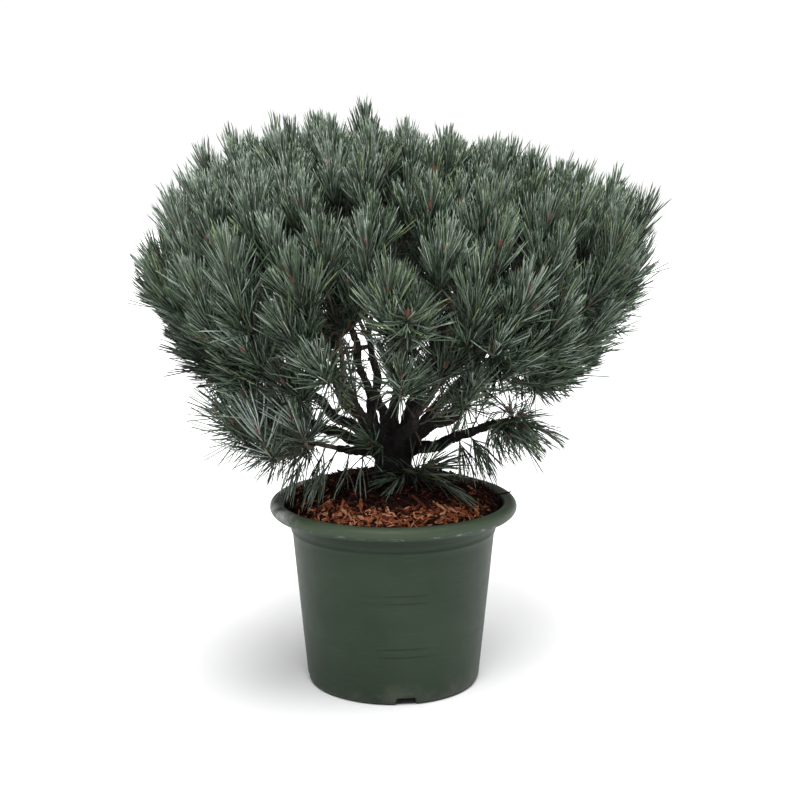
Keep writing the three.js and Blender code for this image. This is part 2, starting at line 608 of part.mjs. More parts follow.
// One mass: its stem, with each shoot drawn out of the free face that looks its way, cut clear of its bough.
function massSolid(mass, allShoots, wood, carriers, random) {
  const { path } = mass;
  const points = [];
  const axis = path.getTangent(0);
  const across = new THREE.Vector3(-axis.y, axis.x, 0.01).normalize();
  const third = axis.clone().cross(across).normalize();
  for (let k = 0; k < 3; k += 1) {
    const turn = (2 * Math.PI * k) / 3;
    points.push(path.v0.clone()
      .addScaledVector(across, TWIG.stemRadius * Math.cos(turn))
      .addScaledVector(third, TWIG.stemRadius * Math.sin(turn)));
  }
  const { bands, cap } = drawOut(points, [0, 1, 2], TWIG.rings.map((share) => ({
    centre: path.getPoint(share),
    axis: path.getTangent(share),
    radius: TWIG.stemRadius + (TWIG.hubRadius - TWIG.stemRadius) * share,
  })));
  const bare = [...bands.flat(), cap];
  let faces = [[2, 1, 0]];
  for (const shoot of mass.shoots) {
    const ways = bare.map((face) => {
      const middle = centroid(points, face);
      const away = shoot.foot.clone().sub(middle).normalize();
      return normalOf(points, face).dot(away) - 0.02 * middle.distanceTo(shoot.knot);
    });
    const best = ways.indexOf(Math.max(...ways));
    const [base] = bare.splice(best, 1);
    const neighbours = allShoots.filter((other) => other !== shoot
      && other.middle.distanceTo(shoot.middle) < 4 * SHOOT.needle);
    faces = faces.concat(needledShoot(points, base, shoot, mass, neighbours, wood, random));
  }
  const solid = solidFrom(indexed(points, [...faces, ...bare].flat()));
  return largestBody(solid.subtract(carriers));
}

const plant = new THREE.Group();
plant.name = 'potted_pine';

function place(name, solid, colour, roughness) {
  const material = new THREE.MeshStandardMaterial({ color: colour, roughness, metalness: 0 });
  const mesh = new THREE.Mesh(geometryFrom(solid), material);
  mesh.name = name;
  plant.add(mesh);
}

place('pot', potSolid(), COLOURS.pot, 0.5);
place('mulch', mulchSolid(), COLOURS.mulch, 0.95);
place('trunk', trunkSolid(), COLOURS.bark, 0.9);

// Thick boughs come first, and each later one is cut clear of the trunk and of those before it.
let carriers = trunkSolid(CUT_ROOM);
for (const bough of [...BOUGHS].sort((a, b) => b.foot - a.foot)) {
  place(bough.name, largestBody(boughSolid(bough).subtract(carriers)), COLOURS.bark, 0.9);
  carriers = carriers.add(boughSolid(bough, CUT_ROOM));
}

const wood = [
  {
    from: new THREE.Vector3(0, 0, TRUNK.foot), to: new THREE.Vector3(...TRUNK.lean, TRUNK.fork - 20),
    radius: TRUNK.flareRadius, owner: 'trunk',
  },
  ...BOUGHS.flatMap((bough) => segmentsOf(boughPath(bough), bough.foot, bough)),
];
const lowMasses = LOW_MASSES.map(lowMass);
for (const mass of lowMasses) {
  wood.push(...segmentsOf(mass.path.getPoints(3), TWIG.stemRadius, mass));
  for (const { knot, foot, bud } of mass.shoots) {
    const pieces = segmentsOf([knot, foot, bud], SHOOT.coreRadius, mass);
    wood.push(...pieces.map((piece) => ({ ...piece, bud })));
  }
}
const crownRandom = seeded(11);
const masses = domeMasses(wood, crownRandom);
growShoots(masses, wood, crownRandom);
masses.push(...lowMasses);
const allShoots = masses.flatMap((mass) => mass.shoots);
const needleRandom = seeded(7);
masses.filter((mass) => mass.shoots.length > 0).forEach((mass, i) => {
  place(mass.name, massSolid(mass, allShoots, wood, carriers, needleRandom), COLOURS.needles[i % 3], 0.7);
});

export default plant;
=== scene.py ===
import math

import bmesh
import bpy
import numpy as np
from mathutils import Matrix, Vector, noise


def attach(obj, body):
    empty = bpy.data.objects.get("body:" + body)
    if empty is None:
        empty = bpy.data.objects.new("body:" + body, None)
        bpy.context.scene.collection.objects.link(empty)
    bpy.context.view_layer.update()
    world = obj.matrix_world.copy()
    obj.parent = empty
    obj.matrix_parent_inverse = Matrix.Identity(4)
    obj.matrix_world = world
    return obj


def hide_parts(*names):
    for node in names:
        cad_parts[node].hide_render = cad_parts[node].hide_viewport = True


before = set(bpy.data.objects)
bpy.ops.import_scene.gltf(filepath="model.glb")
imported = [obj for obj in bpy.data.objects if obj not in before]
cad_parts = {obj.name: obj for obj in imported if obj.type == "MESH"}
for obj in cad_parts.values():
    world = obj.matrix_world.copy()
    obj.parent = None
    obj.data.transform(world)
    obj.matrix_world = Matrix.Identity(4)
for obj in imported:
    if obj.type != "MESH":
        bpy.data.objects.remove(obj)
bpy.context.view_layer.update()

# A potted dwarf pine. Lengths are in millimetres up to the moment a mesh is made.
print("frame loaded:", len(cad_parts), "nodes")
goldenAngle = math.pi * (3 - math.sqrt(5))
up = np.array([0.0, 0.0, 1.0])


def seeded(seed):
    state = [seed]

    def draw():
        state[0] = (state[0] * 1664525 + 1013904223) & 0xFFFFFFFF
        return state[0] / 4294967296
    return draw


def unit(v):
    v = np.asarray(v, dtype=float)
    return v / np.maximum(np.linalg.norm(v, axis=-1, keepdims=True), 1e-9)


def heading(azimuth, angle):
    a, e = math.radians(azimuth), math.radians(angle)
    return np.array([math.cos(e) * math.cos(a), math.cos(e) * math.sin(a), math.sin(e)])


def crossWays(axis, hint):
    # two directions square to an axis and to each other
    across = unit(np.cross(axis, hint))
    return across, np.cross(axis, across)


def turnsOf(count):
    return np.arange(count) * 2 * math.pi / count


def smoothstep(x, low, high):
    t = min(max((x - low) / (high - low), 0.0), 1.0)
    return t * t * (3 - 2 * t)


def meshFrom(name, points, faces, smooth=True):
    mesh = bpy.data.meshes.new(name)
    points = np.asarray(points, dtype=np.float32) * 0.001
    faces = np.asarray(faces, dtype=np.int32)
    mesh.vertices.add(len(points))
    mesh.vertices.foreach_set("co", points.ravel())
    mesh.loops.add(faces.size)
    mesh.loops.foreach_set("vertex_index", faces.ravel())
    mesh.polygons.add(len(faces))
    mesh.polygons.foreach_set("loop_start", np.arange(0, faces.size, faces.shape[1], dtype=np.int32))
    mesh.polygons.foreach_set("use_smooth", np.full(len(faces), smooth, dtype=bool))
    mesh.update(calc_edges=True)
    piece = bpy.data.objects.new(name, mesh)
    bpy.context.collection.objects.link(piece)
    return piece


def bakeModifiers(piece):
    # the piece keeps the shape that its modifiers give it
    depsgraph = bpy.context.evaluated_depsgraph_get()
    mesh = bpy.data.meshes.new_from_object(piece.evaluated_get(depsgraph))
    piece.modifiers.clear()
    piece.data = mesh
    return mesh


def join(parts):
    # stacks (points, faces) pairs into one pair
    points, faces, start = [], [], 0
    for p, f in parts:
        points.append(p)
        faces.append(np.asarray(f) + start)
        start += len(p)
    return np.vstack(points), np.vstack(faces)


def rides(piece, slot, *nodes):
    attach(piece, "root")
    if nodes:
        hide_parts(*nodes)
    return piece


# Shader maths: a socket that adds, subtracts and multiplies like a number
class Wire:
    def __init__(self, nodes, socket):
        self.nodes = nodes
        self.socket = socket

    def math(self, operation, first, second):
        return self.nodes.node("ShaderNodeMath", {"operation": operation}, {0: first, 1: second})

    def __add__(self, other):
        return self.math("ADD", self, other)

    def __radd__(self, other):
        return self.math("ADD", other, self)

    def __sub__(self, other):
        return self.math("SUBTRACT", self, other)

    def __rsub__(self, other):
        return self.math("SUBTRACT", other, self)

    def __mul__(self, other):
        return self.math("MULTIPLY", self, other)

    def __rmul__(self, other):
        return self.math("MULTIPLY", other, self)


class Nodes:
    # a node tree with its shader, and the one method that adds nodes
    def __init__(self, tree, shader):
        self.tree = tree
        self.shader = tree.nodes[shader]

    def node(self, kind, settings=None, inputs=None, output=0):
        made = self.tree.nodes.new(kind)
        for key, value in (settings or {}).items():
            setattr(made, key, value)
        for key, value in (inputs or {}).items():
            if isinstance(value, Wire):
                self.tree.links.new(value.socket, made.inputs[key])
            else:
                made.inputs[key].default_value = value
        return Wire(self, made.outputs[output])

    def split(self, vector, axis):
        return self.node("ShaderNodeSeparateXYZ", None, {0: vector}, axis)

    def feed(self, socket, value):
        self.tree.links.new(value.socket, self.shader.inputs[socket])


class Finish(Nodes):
    def __init__(self, name, **constants):
        self.material = bpy.data.materials.new(name)
        self.material.use_nodes = True
        super().__init__(self.material.node_tree, "Principled BSDF")
        for socket, value in constants.items():
            self.shader.inputs[socket.replace("_", " ")].default_value = value

    def place(self):
        return self.node("ShaderNodeTexCoord", output="Object")

    def stretched(self, *scale):
        return self.node("ShaderNodeVectorMath", {"operation": "MULTIPLY"}, {0: self.place(), 1: scale})

    def noise(self, scale, detail=4, roughness=0.5, vector=None):
        return self.node("ShaderNodeTexNoise", None, {
            "Vector": vector or self.place(), "Scale": scale, "Detail": detail,
            "Roughness": roughness}, "Fac")

    def range(self, value, low, high):
        return self.node("ShaderNodeMapRange", {"interpolation_type": "SMOOTHSTEP"}, {
            "Value": value, "From Min": low, "From Max": high})

    def mix(self, share, first, second):
        first, second = (c if isinstance(c, Wire) else (*c, 1) for c in (first, second))
        return self.node("ShaderNodeMix", {"data_type": "RGBA"}, {0: share, 6: first, 7: second}, 2)

    def bump(self, height, strength, distance):
        self.feed("Normal", self.node("ShaderNodeBump", None, {
            "Height": height, "Strength": strength, "Distance": distance}))

    def on(self, *pieces):
        for piece in pieces:
            piece.data.materials.clear()
            piece.data.materials.append(self.material)
        return self


# Camera, floor and light
studio = {
    "cameraAt": (0, -2.3, 0.874), "pitchDown": 10.62, "turnRight": 0.256, "lens": 68.535,
    "floorSize": 9000, "floorDrop": 0.5, "floorColour": (0.75, 0.75, 0.755),
    "horizonStrength": 1.03, "skyStrength": 0.1, "skyFrom": 0.09, "skyFull": 0.3,
    # name: strength, softness in degrees, height in degrees, side in degrees from the front towards the right
    "lights": {"key": (3.6, 34, 60, -11), "top": (4.1, 60, 77, 100)},
}


def makeStudio():
    scene = bpy.context.scene
    camera = bpy.data.objects.new("photoCamera", bpy.data.cameras.new("photoCamera"))
    camera.data.lens = studio["lens"]
    camera.data.sensor_width = 36
    camera.data.clip_end = 60
    camera.location = studio["cameraAt"]
    camera.rotation_euler = (math.radians(90 - studio["pitchDown"]), 0, -math.radians(studio["turnRight"]))
    scene.collection.objects.link(camera)
    scene.camera = camera
    scene.view_settings.view_transform = "Standard"

    corners = [(x * studio["floorSize"], y * studio["floorSize"], -studio["floorDrop"])
               for x, y in ((-1, -1), (1, -1), (1, 1), (-1, 1))]
    floor = meshFrom("floor", corners, [(0, 1, 2, 3)], False)
    paper = Finish("palePaper", Roughness=0.9)
    colour = studio["floorColour"]
    paper.feed("Base Color", paper.mix(paper.noise(14, 3), colour, [c * 0.985 for c in colour]))
    paper.on(floor)

    # bright at the horizon, dim overhead
    scene.world = bpy.data.worlds.new("studioWorld")
    scene.world.use_nodes = True
    sky = Nodes(scene.world.node_tree, "Background")
    height = sky.split(sky.node("ShaderNodeTexCoord", output="Generated"), 2)
    sky.feed("Strength", sky.node("ShaderNodeMapRange", None, {
        "Value": height, "From Min": studio["skyFrom"], "From Max": studio["skyFull"],
        "To Min": studio["horizonStrength"], "To Max": studio["skyStrength"]}))
    sky.shader.inputs["Color"].default_value = (1, 1, 1, 1)
    for name, (strength, softness, height, side) in studio["lights"].items():
        light = bpy.data.objects.new(name + "Light", bpy.data.lights.new(name + "Light", "SUN"))
        light.data.energy = strength
        light.data.angle = math.radians(softness)
        light.rotation_euler = (math.radians(90 - height), 0, math.radians(side))
        scene.collection.objects.link(light)


makeStudio()
print("studio made")


# The crown's rule: the same sizes, spread and seeds as the solids
crown = {
    "focus": np.array([0.0, 0.0, 371.0]), "seed": 11,
    "shoots": 210, "lowestShoot": 25, "shootPhase": 183,
    "masses": 34, "lowestMass": 29, "massPhase": 20, "massWander": 2, "hubShare": 0.62,
    "roughness": 12, "wander": 3.2, "leader": (180, 85, 42),
    "frontShoots": [
        (-87, 35), (-111, 39), (-107, 45), (-96, 45), (-138, 57), (-131, 62), (-127, 49), (-100, 60),
        (-167, 36), (-85, 57), (-68, 48), (-50, 53), (-35, 49), (-72, 35), (-49, 33), (-91, 38),
        (-79, 43), (-53, 41), (-139, 32), (-37, 38), (-126, 36), (-61, 37)],
    "windows": [(-97, 9, 39), (98, 12, 35)],  # azimuth, half width, below this angle
    "reachAngle": [24, 31, 37, 43, 50, 57, 64, 71, 80, 90],
    "reachLeft": [343, 432, 492, 500, 528, 540, 545, 538, 494, 478],
    "reachRight": [330, 410, 500, 548, 530, 504, 505, 498, 484, 478],
    "shootLength": 54, "overhang": 44, "coreRadius": 3.1, "stemRadius": 4.0, "clearance": 0.8,
}
trunk = {
    "foot": 312.3, "fork": 385, "flare": 38, "waist": 28.5, "head": 30,
    "lobes": 5, "lobeDepth": 0.1, "lean": (-3, -4),
}
# azimuth, angle, reach, foot radius, tip radius, start height, droop
boughs = {
    "bough_right_front": (-25, 38, 235, 15, 6, 373, 12),
    "bough_right_low": (-8, 15, 164, 11, 6, 361, 10),
    "bough_right_back": (27, 41, 235, 10, 5, 369, 10),
    "bough_back_right": (62, 39, 232, 10, 5, 370, 10),
    "bough_back": (104, 43, 230, 10, 5, 371, 10),
    "bough_back_left": (142, 40, 232, 10, 5, 369, 10),
    "bough_left_arm": (179, 25, 268, 10, 5, 361, 18),
    "bough_left_front": (-149, 35, 240, 10, 5, 374, 8),
    "bough_front_left": (-116, 38, 232, 11, 5, 378, 6),
    "bough_front": (-68, 37, 232, 11, 5, 373, 10),
    "bough_upright_left": (168, 71, 262, 8, 4.5, 384, 4),
    "bough_upright_right": (20, 66, 258, 9, 4.5, 384, 4),
    "bough_upright_front": (-80, 65, 252, 9, 4.5, 384, 4),
    "bough_low_left": (-165, 1, 90, 9, 5.5, 360, 3),
}
lowMasses = [
    dict(name="needles_low_left", start="bough_low_left", azimuth=-168, angle=15, length=140,
         shoots=9, spread=62, rise=14, reach=58, core=48, full=0.6, sides=2, hang=0.2),
    dict(name="needles_low_right", start="bough_right_low", azimuth=-12, angle=6, length=36,
         shoots=4, spread=66, rise=0, reach=44, core=38, full=0.5, sides=1, hang=1.1),
    dict(name="needles_front_sprout", start=336, azimuth=-50, angle=4, length=30,
         shoots=3, spread=62, rise=7, reach=40, core=34, full=0.34, sides=0, hang=0.85),
    dict(name="needles_trunk_sprout", start=370, azimuth=-118, angle=34, length=20,
         shoots=1, spread=0, rise=34, reach=38, core=32, full=0.45, sides=0, hang=0.3),
]


class Bend:
    # a curve through a start and an end, drawn towards a third point
    def __init__(self, start, bend, end):
        self.start, self.bend, self.end = (np.asarray(p, dtype=float) for p in (start, bend, end))

    def at(self, t):
        t = np.asarray(t, dtype=float)[..., None]
        return (1 - t) ** 2 * self.start + 2 * t * (1 - t) * self.bend + t ** 2 * self.end


def boughBend(name):
    azimuth, angle, reach, foot, tip, height, droop = boughs[name]
    start = np.array([*trunk["lean"], height]) + heading(azimuth, 0) * (trunk["head"] - foot - 4)
    end = crown["focus"] + heading(azimuth, angle) * reach
    return Bend(start, (start + end) / 2 + heading(azimuth, angle - 90) * droop, end)


def reachTowards(direction):
    angle = math.degrees(math.asin(direction[2]))
    rightness = (1 + direction[0] / max(math.hypot(direction[0], direction[1]), 1e-6)) / 2
    left = np.interp(angle, crown["reachAngle"], crown["reachLeft"])
    right = np.interp(angle, crown["reachAngle"], crown["reachRight"])
    return left + (right - left) * rightness


def anglesTo(point):
    # azimuth, and angle above the crown's focus
    level = math.hypot(point[0], point[1])
    return (math.degrees(math.atan2(point[1], point[0])),
            math.degrees(math.atan2(point[2] - crown["focus"][2], level)))


def spreadDirections(count, lowest, phase, wander, draw):
    spots = []
    for i in range(count):
        sine = 1 - ((i + 0.5) / count) * (1 - math.sin(math.radians(lowest)))
        angle = math.degrees(math.asin(sine)) + (draw() - 0.5) * wander
        stray = (draw() - 0.5) * wander / max(math.cos(math.radians(angle)), 0.3)
        azimuth = phase + math.degrees(i * goldenAngle) + stray
        spots.append({"azimuth": azimuth, "angle": angle, "direction": heading(azimuth, min(angle, 89)),
                      "moved": False})
    return spots


def inWindow(azimuth, angle):
    return any(abs((azimuth - centre + 540) % 360 - 180) < half and angle < below
               for centre, half, below in crown["windows"])


def segmentGaps(p, q, starts, ends):
    # the gap between one straight piece of wood and many others
    d1, d2, r = q - p, ends - starts, p - starts
    a, e, f = d1 @ d1, np.einsum("ij,ij->i", d2, d2), np.einsum("ij,ij->i", d2, r)
    c, b = r @ d1, d2 @ d1
    denominator = a * e - b * b
    slanted = denominator > 1e-9
    s = np.where(slanted, np.clip((b * f - c * e) / np.where(slanted, denominator, 1), 0, 1), 0)
    t = (b * s + f) / e
    outside = (t < 0) | (t > 1)
    t = np.clip(t, 0, 1)
    s = np.where(outside, np.clip((b * t - c) / a, 0, 1), s)
    return np.linalg.norm(p + s[:, None] * d1 - starts - t[:, None] * d2, axis=1)


def pieces(points, radius, owner):
    # the straight pieces of wood between points
    return [[points[k], points[k + 1], radius, owner] for k in range(len(points) - 1)]


class Wood:
    # all limbs and twigs so far, each with its owner
    def __init__(self):
        self.starts, self.ends, self.radii, self.owners = [], [], [], []

    def add(self, some):
        for row in some:
            for column, value in zip((self.starts, self.ends, self.radii, self.owners), row):
                column.append(value)

    def clear(self, some, carrier):
        starts, ends, radii = np.array(self.starts), np.array(self.ends), np.array(self.radii)
        owners = np.array(self.owners)
        for start, end, radius, owner in some:
            foreign = (owners != owner) & (owners != carrier)
            gaps = segmentGaps(start, end, starts[foreign], ends[foreign])
            if (gaps <= radius + radii[foreign] + crown["clearance"]).any():
                return False
        return True


def shootAt(bud, outward, lift, length):
    axis = unit(outward + up * lift)
    foot = bud - axis * length
    return {"bud": bud, "foot": foot, "axis": axis, "middle": foot + (bud - foot) * 0.8}


def lowMass(spec):
    if isinstance(spec["start"], str):
        start = boughBend(spec["start"]).end
    else:
        start = np.array([0, 0, spec["start"]]) + heading(spec["azimuth"], 0) * (trunk["waist"] - 7)
    end = start + heading(spec["azimuth"], spec["angle"]) * spec["length"]
    shoots = []
    for i in range(spec["shoots"]):
        share = 1 if spec["shoots"] == 1 else 0.25 + 0.75 * i / (spec["shoots"] - 1)
        sway = 0 if i == spec["shoots"] - 1 else spec["spread"] * (1 if i % 2 else -1)
        outward = heading(spec["azimuth"] + sway, spec["rise"] + (i % 3 - 1) * 20)
        knot = start + (end - start) * 0.97 * share
        shoot = shootAt(knot + outward * spec["reach"], outward, 0.1, spec["core"])
        shoots.append({**shoot, "knot": knot, **{key: spec[key] for key in ("hang", "full", "sides")}})
    return {"name": spec["name"], "path": Bend(start, (start + end) / 2, end), "shoots": shoots}


def stemTo(hub, bough, name, wood):
    # the stem of a mass, from the first place near a bough's tip where it is clear of other wood
    limb = boughBend(bough).at([0.8, 1.0])
    back = unit(limb[0] - limb[1])
    for step in range(9):
        start = limb[1] + back * step * 7
        bend = (start + hub) / 2 + back * (-0.16 if step == 0 else 0.04) * np.linalg.norm(hub - start)
        path = Bend(start, bend, hub)
        points = path.at([0, 1 / 3, 2 / 3, 1])
        stem = pieces(points, crown["stemRadius"], name)
        first = points[1] - points[0]
        stem[0][0] = points[0] + first * (boughs[bough][4] - 1) / np.linalg.norm(first)
        if wood.clear(stem, bough):
            wood.add(stem)
            return path
    return None


def domeMasses(wood, draw):
    masses = []
    spots = spreadDirections(
        *(crown[key] for key in ("masses", "lowestMass", "massPhase", "massWander")), draw)
    for i, spot in enumerate(spots):
        name = f"needles_{i + 1:02d}"
        hub = crown["focus"] + spot["direction"] * crown["hubShare"] * reachTowards(spot["direction"])
        high = (b for b in boughs if boughs[b][1] > 10)
        for bough in sorted(high, key=lambda b: np.linalg.norm(boughBend(b).end - hub))[:4]:
            path = stemTo(hub, bough, name, wood)
            if path:
                masses.append({"name": name, "direction": spot["direction"], "path": path, "shoots": []})
                break
    return masses


def inOwnCell(point, own, other, room):
    return (np.sum((point - other["middle"]) ** 2) - np.sum((point - own["middle"]) ** 2)
            > 2 * room * np.linalg.norm(other["middle"] - own["middle"]))


def plantShoot(shoot, direction, masses, wood):
    # gives the shoot to a mass that has room for it, or returns the mass it would have gone to
    owners = sorted(masses, key=lambda m: -(m["direction"] @ direction))
    for mass in owners[:4]:
        near = [one for other in masses if other is not mass for one in other["shoots"]
                if np.sum((one["middle"] - shoot["middle"]) ** 2) < 200 ** 2]
        if not all(inOwnCell(a[end], a, b, 8) for one in near for a, b in ((shoot, one), (one, shoot))
                   for end in ("foot", "bud")):
            continue
        for share in (0.94, 0.84, 0.74, 0.64):
            knot = mass["path"].at(share)
            way = unit(shoot["foot"] - knot)
            if any(one["share"] == share and way @ unit(one["foot"] - knot) > math.cos(0.35)
                   for one in mass["shoots"]):
                continue
            twig = pieces([knot, shoot["foot"], shoot["bud"]], crown["coreRadius"], mass["name"])
            if wood.clear(twig, None):
                wood.add(twig)
                mass["shoots"].append(
                    {**shoot, "knot": knot, "share": share, "hang": 0.0, "full": 1.0, "sides": 3})
                return None
    return owners[0]


def growCrown():
    wood = Wood()
    trunkEnds = [np.array([0, 0, trunk["foot"]]), np.array([*trunk["lean"], trunk["fork"] - 20.0])]
    wood.add(pieces(trunkEnds, trunk["flare"], "trunk"))
    for name in boughs:
        wood.add(pieces(boughBend(name).at(np.linspace(0, 1, 6)), boughs[name][3], name))
    low = [lowMass(spec) for spec in lowMasses]
    for mass in low:
        wood.add(pieces(mass["path"].at([0, 1 / 3, 2 / 3, 1]), crown["stemRadius"], mass["name"]))
        for shoot in mass["shoots"]:
            wood.add(pieces([shoot["knot"], shoot["foot"], shoot["bud"]], crown["coreRadius"], mass["name"]))
    draw = seeded(crown["seed"])
    masses = domeMasses(wood, draw)
    spots = spreadDirections(*(crown[key] for key in ("shoots", "lowestShoot", "shootPhase", "wander")), draw)
    spots = [s for s in spots if not inWindow(s["azimuth"], s["angle"])]
    for azimuth, angle in [crown["leader"][:2], *crown["frontShoots"]]:
        direction = heading(azimuth, angle)
        nearest = max((s for s in spots if not s["moved"]), key=lambda s: s["direction"] @ direction)
        nearest.update(azimuth=azimuth, angle=angle, direction=direction, moved=True)
    crowded = []
    for spot in spots:
        rough = (draw() - 0.5) * 2 * crown["roughness"]
        leads = spot["direction"][2] > 0.99 and spot["moved"]
        rise = crown["leader"][2] if leads else rough * (0.4 if spot["moved"] else 1)
        reach = reachTowards(spot["direction"]) - crown["overhang"] + rise
        lift = 0.25 + 0.4 * smoothstep(spot["angle"], 26, 42)
        shoot = shootAt(crown["focus"] + spot["direction"] * reach, spot["direction"], lift,
                        crown["shootLength"])
        owner = plantShoot(shoot, spot["direction"], masses, wood)
        if owner:
            crowded.append((owner, shoot))
    for owner, shoot in crowded:  # places the solids leave free for want of room
        owner["shoots"].append({**shoot, "knot": owner["path"].at(0.8), "hang": 0.0, "full": 0.9, "sides": 2})
    print("shoots in crowded places:", len(crowded))
    return masses + low


# Shoots that only the scene has
extraShoots = {
    # candles on the lowest front shoots: azimuth and angle of the shoot, then of the candle
    "candles": [(-72, 35, -80, 76), (-49, 33, -60, 72), (-139, 32, -140, 74), (-37, 38, -40, 72),
                (-126, 36, -120, 76)],
    # deep ones that close the crown over the window: azimuth, angle and share of the crown's reach
    "deep": [(-97, 44.5, 0.9), (-92, 43.5, 0.82), (-102, 45, 0.84), (-87, 44, 0.8), (-107, 45.5, 0.82),
             (-86, 40, 0.78)],
    "inner": (-83, 71, 0.72),
    # upright ones that the low left limb holds to the front, mostly in the pale tint, which is painted light:
    # azimuth, angle and distance from the focus
    "skirt": [(-150, 29, 290), (-141, 22, 292), (-131, 28, 302), (-123, 19, 272), (-147, 14, 284),
              (-134, 13, 282)],
    "skirtLength": 44, "skirtAngle": 62,
}


def addCandle(masses, azimuth, angle, leanAzimuth, leanAngle):
    every = [(mass, shoot) for mass in masses for shoot in mass["shoots"]]
    mass, carrier = max(every, key=lambda one: unit(one[1]["bud"] - crown["focus"]) @ heading(azimuth, angle))
    way = heading(leanAzimuth, leanAngle)
    end = carrier["bud"] + way * crown["shootLength"] * 0.95
    mass["shoots"].append(
        {**carrier, "knot": carrier["foot"], "foot": carrier["bud"], "bud": end, "axis": way, "sides": 2})


def deepShoot(masses, azimuth, angle, share):
    direction = heading(azimuth, angle)
    mass = max((m for m in masses if "direction" in m), key=lambda m: m["direction"] @ direction)
    bud = crown["focus"] + direction * (reachTowards(direction) - crown["overhang"]) * share
    shoot = shootAt(bud, direction, 0.6, crown["shootLength"])
    return mass, {**shoot, "knot": mass["path"].at(0.8), "hang": 0.0, "full": 1.1, "sides": 1}


def addExtraShoots(masses):
    for candle in extraShoots["candles"]:
        addCandle(masses, *candle)
    for place in extraShoots["deep"]:
        mass, shoot = deepShoot(masses, *place)
        mass["shoots"].append(shoot)
    masses[-1]["shoots"].append(deepShoot(masses, *extraShoots["inner"])[1])
    skirt = next(m for m in masses if m["name"] == "needles_low_left")
    for azimuth, angle, reach in extraShoots["skirt"]:
        way = heading(azimuth - 10, extraShoots["skirtAngle"])
        bud = crown["focus"] + heading(azimuth, angle) * reach
        foot = bud - way * extraShoots["skirtLength"]
        skirt["shoots"].append({"knot": skirt["path"].at(0.25), "foot": foot, "bud": bud, "axis": way,
                                "hang": 0.1, "full": 0.6, "sides": 0})


masses = growCrown()
addExtraShoots(masses)
print("crown grown:", len(masses), "masses,", sum(len(mass["shoots"]) for mass in masses), "shoots")


def tube(points, radii, sides=7):
    points = np.asarray(points, dtype=float)
    radii = np.asarray(radii, dtype=float)
    along = unit(np.gradient(points, axis=0))
    rings = []
    across = unit(np.cross(along[0], (0.3, 0.9, 0.2)))
    turn = turnsOf(sides)
    for point, way, radius in zip(points, along, radii):
        across = unit(across - way * (across @ way))
        third = np.cross(way, across)
        spokes = np.cos(turn)[:, None] * across + np.sin(turn)[:, None] * third
        rings.append(point + spokes * np.reshape(radius, (-1, 1)))
    k = np.arange(sides)
    a = np.arange(len(points) - 1)[:, None] * sides + k
    b = np.arange(len(points) - 1)[:, None] * sides + (k + 1) % sides
    faces = np.vstack([np.stack([a, b, b + sides], -1).reshape(-1, 3),
                       np.stack([a, b + sides, a + sides], -1).reshape(-1, 3)])
    first = len(points) * sides
    top = first - sides
    caps = [(first, (i + 1) % sides, i) for i in range(sides)]
    caps += [(first + 1, top + i, top + (i + 1) % sides) for i in range(sides)]
    return np.vstack([*rings, points[0], points[-1]]), np.vstack([faces, caps])


# Trunk and boughs: one carved mesh
limbs = {
    "voxel": 1.7, "plateScale": 0.085, "plateDepth": 1.9, "fineDepth": 0.5, "warpSeed": 5,
    "knobbles": 0.09, "sway": 15, "rings": 30, "trunkRings": 16,
    # the brown stub on the right front bough: place along it, then how far it stands out and its radii
    "stub": (0.86, [(0, 0, 0), (-6, -6, 16), (-9, -8, 24)], [6.5, 5.5, 4]),
    "barkDark": (0.014, 0.011, 0.009), "barkWarm": (0.034, 0.025, 0.019), "barkGrey": (0.052, 0.045, 0.039),
    # the foot colour is painted shade on the trunk's foot, faded in over the two heights after it
    "footPaintedShade": (0.008, 0.007, 0.0065), "crack": (0.005, 0.004, 0.0035), "paintedShadeBelow": (0.40, 0.47),
}


def trunkTube():
    turn = turnsOf(40)
    shares = np.linspace(-0.12, 1.0, limbs["trunkRings"])
    flare, waist = trunk["flare"], trunk["waist"]
    radii = np.interp(shares, [-0.12, 0, 0.12, 0.32, 0.6, 0.85, 1.0],
                      [flare + 5, flare, flare - 5, waist + 0.5, waist, trunk["head"], 19])
    depth = trunk["lobeDepth"] * np.interp(shares, [0, 0.6], [1, 0.1])[:, None]
    lobe = 1 + depth * np.cos(trunk["lobes"] * turn + 1)
    height = trunk["fork"] - trunk["foot"]
    centres = [(trunk["lean"][0] * s, trunk["lean"][1] * s, trunk["foot"] + height * s) for s in shares]
    return tube(centres, radii[:, None] * lobe, 40)


def boughTubes(name, rng):
    foot, tip = boughs[name][3:5]
    share = np.linspace(-0.03, 1.0, limbs["rings"])
    inside = np.clip(share, 0, 1)
    sway = np.array([[noise.noise(Vector((s * 4, seed, foot))) for seed in (1.5, 7.5, 13.5)] for s in share])
    sway = sway * (limbs["sway"] * np.sin(np.clip(share / 0.8, 0, 1) * math.pi))[:, None]
    girth = foot + (tip - foot) * inside
    knobbles = np.array([noise.noise(Vector((s * 13, foot, tip))) for s in share])
    girth = girth * (1 + limbs["knobbles"] * knobbles * 2)
    girth = girth + 3.5 * np.exp(-inside * 14)
    parts = [tube(boughBend(name).at(share) + sway, girth, 16)]
    for at in (0.35 + 0.2 * rng.random(), 0.7 + 0.15 * rng.random()):  # stubs of lost twigs
        way = unit(rng.normal(size=3) + up * 0.5)
        base = boughBend(name).at(at)
        size = girth[int(at * (len(share) - 1))]
        parts.append(tube([base, base + way * size * 1.15, base + way * size * 1.5],
                          [size * 0.5, size * 0.36, size * 0.2], 8))
    return parts


